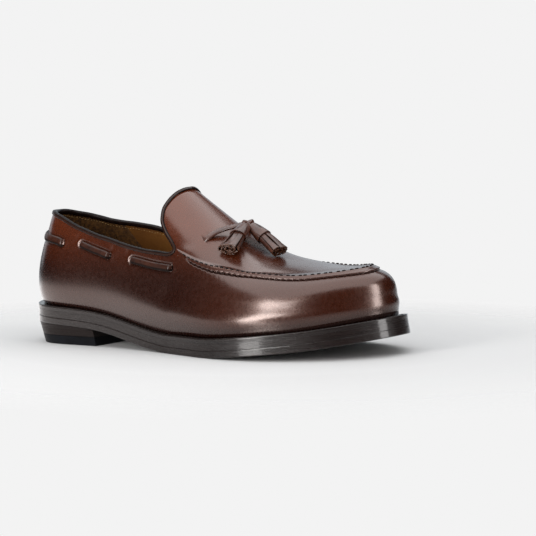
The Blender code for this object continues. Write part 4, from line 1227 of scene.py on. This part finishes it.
def tassel_strip(start, axis, side, up, place, scale, seed):
    """One cut strip of the fringe, bent round the bundle and rough at its end.

    place is its start and end round the bundle, as turns.
    """
    rng = np.random.default_rng(seed)
    length = (FRINGE_LENGTH + STRIP_HIDDEN) * (1.0 + rng.normal(0.0, 0.018)) - 0.0004
    bow, lift, drift = rng.normal(0.0, 0.00028), rng.uniform(0.0, 0.00055), rng.normal(0.0, 0.014)
    rows, wide = 17, 9
    rings, cut, dark = [], [], []
    flank = np.zeros(2 * wide)
    flank[[0, wide - 1, wide, 2 * wide - 1]] = 0.45
    # Painted shade on the inner face of the strip.
    inner_shade = np.repeat([0.0, 0.4], wide)
    for k in range(rows):
        share = k / (rows - 1.0)
        swell = bow * math.sin(math.pi * share) + lift * share ** 3
        a, b = (scale * (low + (high - low) * share ** 1.1) + swell
                for low, high in (BUNDLE[::2], BUNDLE[1::2]))
        turn = 2.0 * math.pi * (np.linspace(*place, wide) + drift * share ** 2)
        centre = start + axis * (CAP_LENGTH - STRIP_HIDDEN + length * share)
        ring = np.concatenate([
            ellipse(centre, side, up, turn, a, b),
            ellipse(centre, side, up, turn, a - STRIP_THICK, b - STRIP_THICK)[::-1]])
        if k == rows - 1:
            ring = ring + axis * (0.00014 * rng.normal(size=2 * wide))[:, None]
        rings.append(ring)
        cut.append(np.maximum(flank, float(share > 0.965)))
        # Painted shade on the inner face and along the strip's edges, short of its cut end.
        dark.append(inner_shade + 0.5 * (flank > 0.0) * (share < 0.96))
    size, last = 2 * wide, (rows - 1) * 2 * wide
    points = np.vstack([*rings, rings[-1].mean(0) + axis * 0.00006])
    faces = tube_faces(rows, size)[:-1]
    faces += [(last + k, last + (k + 1) % size, rows * size) for k in range(size)]
    return points, faces, np.append(np.ravel(cut), 1.0), np.append(np.ravel(dark), 0.0)


def add_tassel(name, direction, seed, material):
    """A cap with its layers of strips, all in one piece."""
    axes = tassel_frame(direction)
    points, faces, dark = tassel_cap(*axes)
    parts, cuts, darks = [(points, faces)], [np.zeros(len(points))], [dark]
    for count, scale, turned in STRIP_LAYERS:
        for n in range(count):
            seed += 1
            place = [(n + turned + half) / count for half in (-STRIP_HALF, STRIP_HALF)]
            strip, strip_faces, cut, shade = tassel_strip(*axes, place, scale, seed)
            parts.append((strip, strip_faces))
            cuts.append(cut)
            darks.append(shade)
    made = new_piece(name + "_fringe", *joined(parts), "lace_leather", material, name,
                     cut=np.concatenate(cuts), dark=np.clip(np.concatenate(darks), 0.0, 1.0))
    made.data.set_sharp_from_angle(angle=math.radians(50.0))
    return made


def ring_at(loop, count, stop=None):
    """Points round a plan loop in pairs with one x: outer side forwards, inner side back."""
    tip = 0.00004
    start, end = loop[:, 0].min() + tip, loop[:, 0].max() - tip if stop is None else stop
    turn = np.linspace(0.0, math.pi if stop is None else 0.5 * math.pi, count)
    x = start + (end - start) * (1.0 - np.cos(turn)) / (1.0 - math.cos(turn[-1]))
    outer, inner = widths(loop, x)
    return np.concatenate([np.column_stack([x, outer]), np.column_stack([x, inner])[::-1]])


def ladder(base, size, flip=False):
    """Faces across a ring whose points come in pairs with one x."""
    faces = [(base + k, base + size - 1 - k, base + size - 2 - k, base + k + 1)
             for k in range(size // 2 - 1)]
    return [f[::-1] for f in faces] if flip else faces


def plate(name, levels, count, slot, material, replaced, stop=None, heights=None, **attributes):
    """Solid of the sole from rings at several insets and depths, from its top down."""
    rings = []
    for k, (loop, depth) in enumerate(levels):
        x, y = ring_at(loop, count, stop).T
        x, z = below(x, depth) if heights is None else (x, heights[k](x))
        rings.append(np.column_stack([x, y, z]))
    size = len(rings[0])
    faces = [tuple(face)[::-1] for face in grid_faces(len(rings), size)]
    faces += ladder(0, size, flip=True) + ladder((len(rings) - 1) * size, size)
    made = new_piece(name, rings, faces, slot, material, replaced, **attributes)
    made.data.set_sharp_from_angle(angle=math.radians(35.0))


def edge_levels(inset, top, low, bevel):
    """Rings of a layer's edge with rounded corners."""
    tall = low - top
    corner = [(3.0 * bevel, 0.0), (bevel, 0.0), (0.30 * bevel, 0.28 * bevel), (0.0, bevel),
              (0.0, 2.0 * bevel)]
    rows = corner + [(0.0, tall * share) for share in (0.3, 0.5, 0.7)]
    rows += [(a, tall - b) for a, b in corner[::-1]]
    return [(inset_loop(SOLE_EDGE, inset + a), top + b) for a, b in rows]


def add_sole(edge_look, heel_look, rubber, thread):
    """Midsole and outsole, then the welt and the heel."""
    midsole_top = WELT_THICK + CLEARANCE
    midsole_low = midsole_top + MIDSOLE_THICK
    for name, inset, top, low, bevel, node in (
            ("midsole_edge", MIDSOLE_INSET - 0.0003, midsole_top - LAYER_CLOSER,
             midsole_low + LAYER_CLOSER, 0.00006, "midsole"),
            ("outsole_edge", OUTSOLE_INSET, midsole_low + CLEARANCE - LAYER_CLOSER, STACK, 0.00040,
             "outsole")):
        plate(name, edge_levels(inset, top, low, bevel), 300, "sole_leather", edge_look, node)
    add_welt(edge_look, thread)
    add_heel(heel_look, rubber)


def add_welt(material, thread):
    """Welt with a lip at its edge, wheel marks round the forefoot and its row of stitches."""
    loop, count = SOLE_EDGE, len(SOLE_EDGE)
    run = path_run(loop)
    fore = ramp(loop[:, 0], 0.060, 0.100)
    mark = fore * (0.5 - 0.5 * np.cos(2.0 * math.pi * run / WHEEL_PITCH))
    # Rows: inset from the edge, depth below the top, depth of the wheel marks (share)
    rows = [(WELT_WIDTH, 0.0, 0.0), (0.0070, 0.0, 0.0), (0.0046, 0.0, 0.0), (0.0030, 0.0, 0.0),
            (WELT_GROOVE, 0.00010, 0.0), (0.0022, 0.0, 0.25), (0.0017, -0.00004, 1.0),
            (0.0011, -0.00004, 1.0), (0.0006, 0.0, 0.6), (0.00032, 0.00002, 0.0),
            (0.00010, 0.00012, 0.0), (0.0, 0.00040, 0.0), (0.00004, 0.0012, 0.0),
            (0.00012, 0.0022, 0.0), (0.00016, WELT_THICK + 0.00010, 0.0),
            (0.0006, WELT_THICK + 0.00015, 0.0), (WELT_WIDTH, WELT_THICK, 0.0)]
    rings, dark = [], []
    for inset, depth, notch in rows:
        x, y = inset_loop(loop, inset).T
        x, z = below(x, depth)
        rings.append(np.column_stack([x, y, z - notch * mark * WHEEL_DEPTH]))
        # Painted shade in the wheel marks, in the stitch groove and under the upper.
        dark.append(0.45 * notch * mark + 0.8 * (inset == WELT_GROOVE) + 0.9 * (inset > 0.0044))
    faces = [tuple(face) for face in grid_faces(len(rings), count)[:, ::-1]]
    last = (len(rings) - 1) * count
    faces += [(k, last + k, last + (k + 1) % count, (k + 1) % count)[::-1] for k in range(count)]
    made = new_piece("welt_strip", rings, faces, "sole_leather", material, "welt",
                     dark=np.clip(dark, 0.0, 1.0))
    made.data.set_sharp_from_angle(angle=math.radians(60.0))
    x, y = inset_loop(loop, WELT_GROOVE).T
    x, z = below(x, 0.00002)
    line = np.column_stack([x, y, z])
    places, along, goal = [], [], 0.0
    for k in range(count):
        if run[k] >= goal and fore[k] >= 0.5:
            goal = run[k] + WELT_STITCH_PITCH
            places.append(line[k])
            along.append(unit(line[(k + 1) % count] - line[k - 1]))
    add_stitches("welt_stitches", places, along, [UP] * len(places), 0.0026, 0.00026, thread,
                 "sole_leather", "welt")


def add_heel(lift_look, rubber):
    """Stacked leather lifts on a rubber top piece."""
    back_height = float(outsole_underside(0.0))
    breast_height = float(outsole_underside(HEEL_LENGTH))
    lift_low = TOP_PIECE_THICK + CLEARANCE
    lift_high = lift_low + LIFT_SHARE * (breast_height - lift_low - 2.0 * CLEARANCE)
    wedge_low = lift_high + CLEARANCE
    bevel, closer = 0.00010, LAYER_CLOSER

    def add_lift(name, rows, heights, node, slot, look):
        """A lift from rows of height, which sets its taper, and further inset."""
        levels = [(inset_loop(SOLE_EDGE, OUTSOLE_INSET + HEEL_TAPER * (1.0 - height / back_height)
                              + more), 0.0) for height, more in rows]
        plate(name, levels, 90, slot, look, node, stop=HEEL_LENGTH, heights=heights)

    def level(height):
        return lambda x: np.full(len(x), height)

    def seat(down):
        return lambda x: outsole_underside(x) - CLEARANCE + closer - down

    for name, low, high, node, slot, look in (
            ("heel_rubber_piece", 0.0, TOP_PIECE_THICK, "heel_top_piece", "heel_rubber", rubber),
            ("heel_stack_lower", lift_low - closer, lift_high + closer, "heel_lift_lower",
             "sole_leather", lift_look)):
        rows = [(high, 3.0 * bevel), (high, bevel), (high - bevel, 0.0),
                (0.5 * (high + low), -0.00004), (low + bevel, 0.0), (low, bevel),
                (low, 3.0 * bevel)]
        add_lift(name, rows, [level(height) for height, _ in rows], node, slot, look)
    add_lift("heel_stack_upper",
             [(back_height, bevel), (back_height, 0.0), (wedge_low, 0.0), (wedge_low, bevel)],
             [seat(0.0), seat(0.6 * bevel), level(wedge_low - closer + 0.4 * bevel),
              level(wedge_low - closer)], "heel_lift_upper", "sole_leather", lift_look)


def add_insole(lining):
    """Board and sock inside the shoe, which lie in front of the heel grip's seam."""
    inset = WALL + 3.0 * CLEARANCE
    low = -(2.0 * CLEARANCE + WALL)
    top = low - INSOLE_THICK
    rows = [(0.0016, top), (0.0006, top + 0.00015), (0.0001, top + 0.0006), (0.0, low - 0.0004),
            (0.0002, low)]
    plate("insole_sock", [(inset_loop(FOOT, inset + a), d) for a, d in rows], 260,
          "lining_leather", lining, "insole", behind=-1.0)


# Camera fitted to the photo: turn from the side towards the toe, height angle and roll (degrees),
# distance (metres), lens (millimetres), point that it turns about, shift of the frame
CAMERA = {"turn": 41.5, "rise": 6.0, "roll": -2.9, "distance": 1.610, "lens": 161.2,
          "target": (0.150, 0.0, 0.040), "shift": (0.1069, 0.0353)}


def add_camera():
    """Camera on the photo's side, with its own roll and shift."""
    turn, rise, roll = (math.radians(CAMERA[k]) for k in ("turn", "rise", "roll"))
    back = np.array([math.sin(turn) * math.cos(rise), -math.cos(turn) * math.cos(rise),
                     math.sin(rise)])
    level = np.array([math.cos(turn), math.sin(turn), 0.0])
    lift = np.cross(back, level)
    right = level * math.cos(roll) + lift * math.sin(roll)
    up = -level * math.sin(roll) + lift * math.cos(roll)
    data = bpy.data.cameras.new("camera")
    data.sensor_width, data.lens = 36.0, CAMERA["lens"]
    data.shift_x, data.shift_y = CAMERA["shift"]
    data.clip_start, data.clip_end = 0.05, 50.0
    camera = bpy.data.objects.new("camera", data)
    place = placed(CAMERA["target"]) + back * CAMERA["distance"]
    matrix = np.eye(4)
    matrix[:3, 0], matrix[:3, 1], matrix[:3, 2], matrix[:3, 3] = right, up, back, place
    camera.matrix_world = Matrix(matrix.tolist())
    bpy.context.scene.collection.objects.link(camera)
    bpy.context.scene.camera = camera
    bpy.context.scene.view_settings.view_transform = "Standard"


# Softboxes. Columns: name, turn round the shoe and height angle (degrees), distance, width and
# height (metres), roll (degrees), power (watts), colour
SOFTBOXES = [
    ("side_strip", -100.5, 11.5, 0.80, 0.24, 0.54, -30.0, 6.6, (1.0, 0.98, 0.96)),
    ("toe_strip", -1.0, 10.5, 1.60, 0.38, 1.30, 0.0, 15.5, (1.0, 0.98, 0.97)),
    ("overhead", -60.0, 88.0, 1.50, 3.20, 3.20, 0.0, 64.5, (0.98, 0.99, 1.0)),
    ("backdrop", 141.0, 17.0, 2.20, 3.60, 1.20, 0.0, 10.0, (0.84, 0.93, 1.0)),
]


def add_lights():
    """Softboxes turned to the shoe and hidden from the camera."""
    middle = placed(CAMERA["target"])
    for name, turn, rise, distance, wide, tall, roll, power, colour in SOFTBOXES:
        turn, rise = math.radians(turn), math.radians(rise)
        way = np.array([math.cos(rise) * math.cos(turn), math.cos(rise) * math.sin(turn),
                        math.sin(rise)])
        data = bpy.data.lights.new(name, "AREA")
        data.shape, data.size, data.size_y = "RECTANGLE", wide, tall
        data.energy, data.color = power, colour
        light = bpy.data.objects.new(name, data)
        light.matrix_world = (Matrix.Translation((middle + way * distance).tolist())
                              @ Vector(way.tolist()).to_track_quat("Z", "Y").to_matrix().to_4x4()
                              @ Matrix.Rotation(math.radians(roll), 4, "Z"))
        bpy.context.scene.collection.objects.link(light)
        light.visible_camera = False


def add_world():
    """Plain background, bright for the camera alone."""
    world = bpy.data.worlds.new("studio")
    bpy.context.scene.world = world
    world.use_nodes = True
    tree = world.node_tree
    ground = tree.nodes["Background"]
    rays = tree.nodes.new("ShaderNodeLightPath")
    level = tree.nodes.new("ShaderNodeMapRange")
    level.inputs["To Min"].default_value = BACKGROUND_LIGHT
    level.inputs["To Max"].default_value = BACKGROUND_SEEN
    tree.links.new(rays.outputs["Is Camera Ray"], level.inputs["Value"])
    ground.inputs["Color"].default_value = (1.0, 1.0, 1.0, 1.0)
    tree.links.new(level.outputs["Result"], ground.inputs["Strength"])


def add_floor():
    """White floor that fades into the background for the camera and reaches far for the rest.

    Behind the heel it glows for reflections alone, which gives the pale band low on the heel.
    """
    mesh = bpy.data.meshes.new("floor")
    mesh.from_pydata([(2.4 * math.cos(t), 2.4 * math.sin(t), 0.0) for t in round_turns(64)], [],
                     [tuple(range(64))])
    floor = bpy.data.objects.new("floor", mesh)
    look = Look("floor")
    tone = look.remap(look.noise(3.0, 2.0), 0.3, 0.7)
    look.set(Base_Color=look.mix(tone, (0.53, 0.53, 0.53), (0.55, 0.55, 0.55)))
    stretched = look.node("Mapping", Vector=look.place, Scale=(1.0, 1.6, 1.0)).outputs["Vector"]
    solid = look.remap(look.distance(stretched, (0.12, 0.0, 0.0)), 0.19, 0.42, 1.0, 0.0)
    rays = look.node("LightPath")
    seen = look.node("Mix")
    seen.data_type = "FLOAT"
    look.feed(seen.inputs[0], rays.outputs["Is Camera Ray"])
    seen.inputs[2].default_value = 1.0
    look.feed(seen.inputs[3], solid)
    behind = look.distance(look.place, (-0.24, -0.05, 0.0))
    glow = look.times(look.remap(behind, 0.14, 0.36, 1.0, 0.0), rays.outputs["Is Glossy Ray"])
    look.set(Emission_Color=(1.0, 0.93, 0.90, 1.0), Emission_Strength=glow,
             Alpha=seen.outputs[0],
             Roughness=look.remap(rays.outputs["Is Camera Ray"], 0.0, 1.0, 0.16, 0.80),
             Specular_IOR_Level=look.remap(rays.outputs["Is Camera Ray"], 0.0, 1.0, 0.8, 0.1))
    mesh.materials.append(look.material)
    bpy.context.scene.collection.objects.link(floor)


def main():
    add_camera()
    calf, lace, lining = calf_look(), lace_look(), lining_look()
    ends = [add_thong(label, slot, lace) for label, slot in zip(("outer", "inner"), FRONT_SLOTS)]
    knot = add_knot(lace)
    tassels = [add_tassel(name, direction, seed, lace)
               for (name, direction), seed in zip(TASSEL_DIRECTIONS.items(), (10, 60))]
    skin = Skin()
    drawn = add_upper(skin, calf)
    add_seam_stitches(skin, drawn, thread_look("dark_thread", (0.0050, 0.0030, 0.0026), 0.60))
    add_lining(skin, lining, thread_look("pale_thread", (0.42, 0.27, 0.11), 0.60))
    add_binding(skin, binding_look())
    add_lace_bars(lace)
    edge_look = sole_look("sole_leather", (0.0050, 0.0032, 0.0030), (0.0160, 0.0100, 0.0090),
                          0.28, 0.55, 0.20)
    heel_look = sole_look("heel_leather", (0.0070, 0.0046, 0.0042), (0.0130, 0.0085, 0.0075),
                          0.42, 0.02, 0.08)
    add_sole(edge_look, heel_look, rubber_look(),
             thread_look("welt_thread", (0.020, 0.013, 0.010), 0.55))
    add_insole(lining)
    add_floor()
    add_lights()
    add_world()


main()
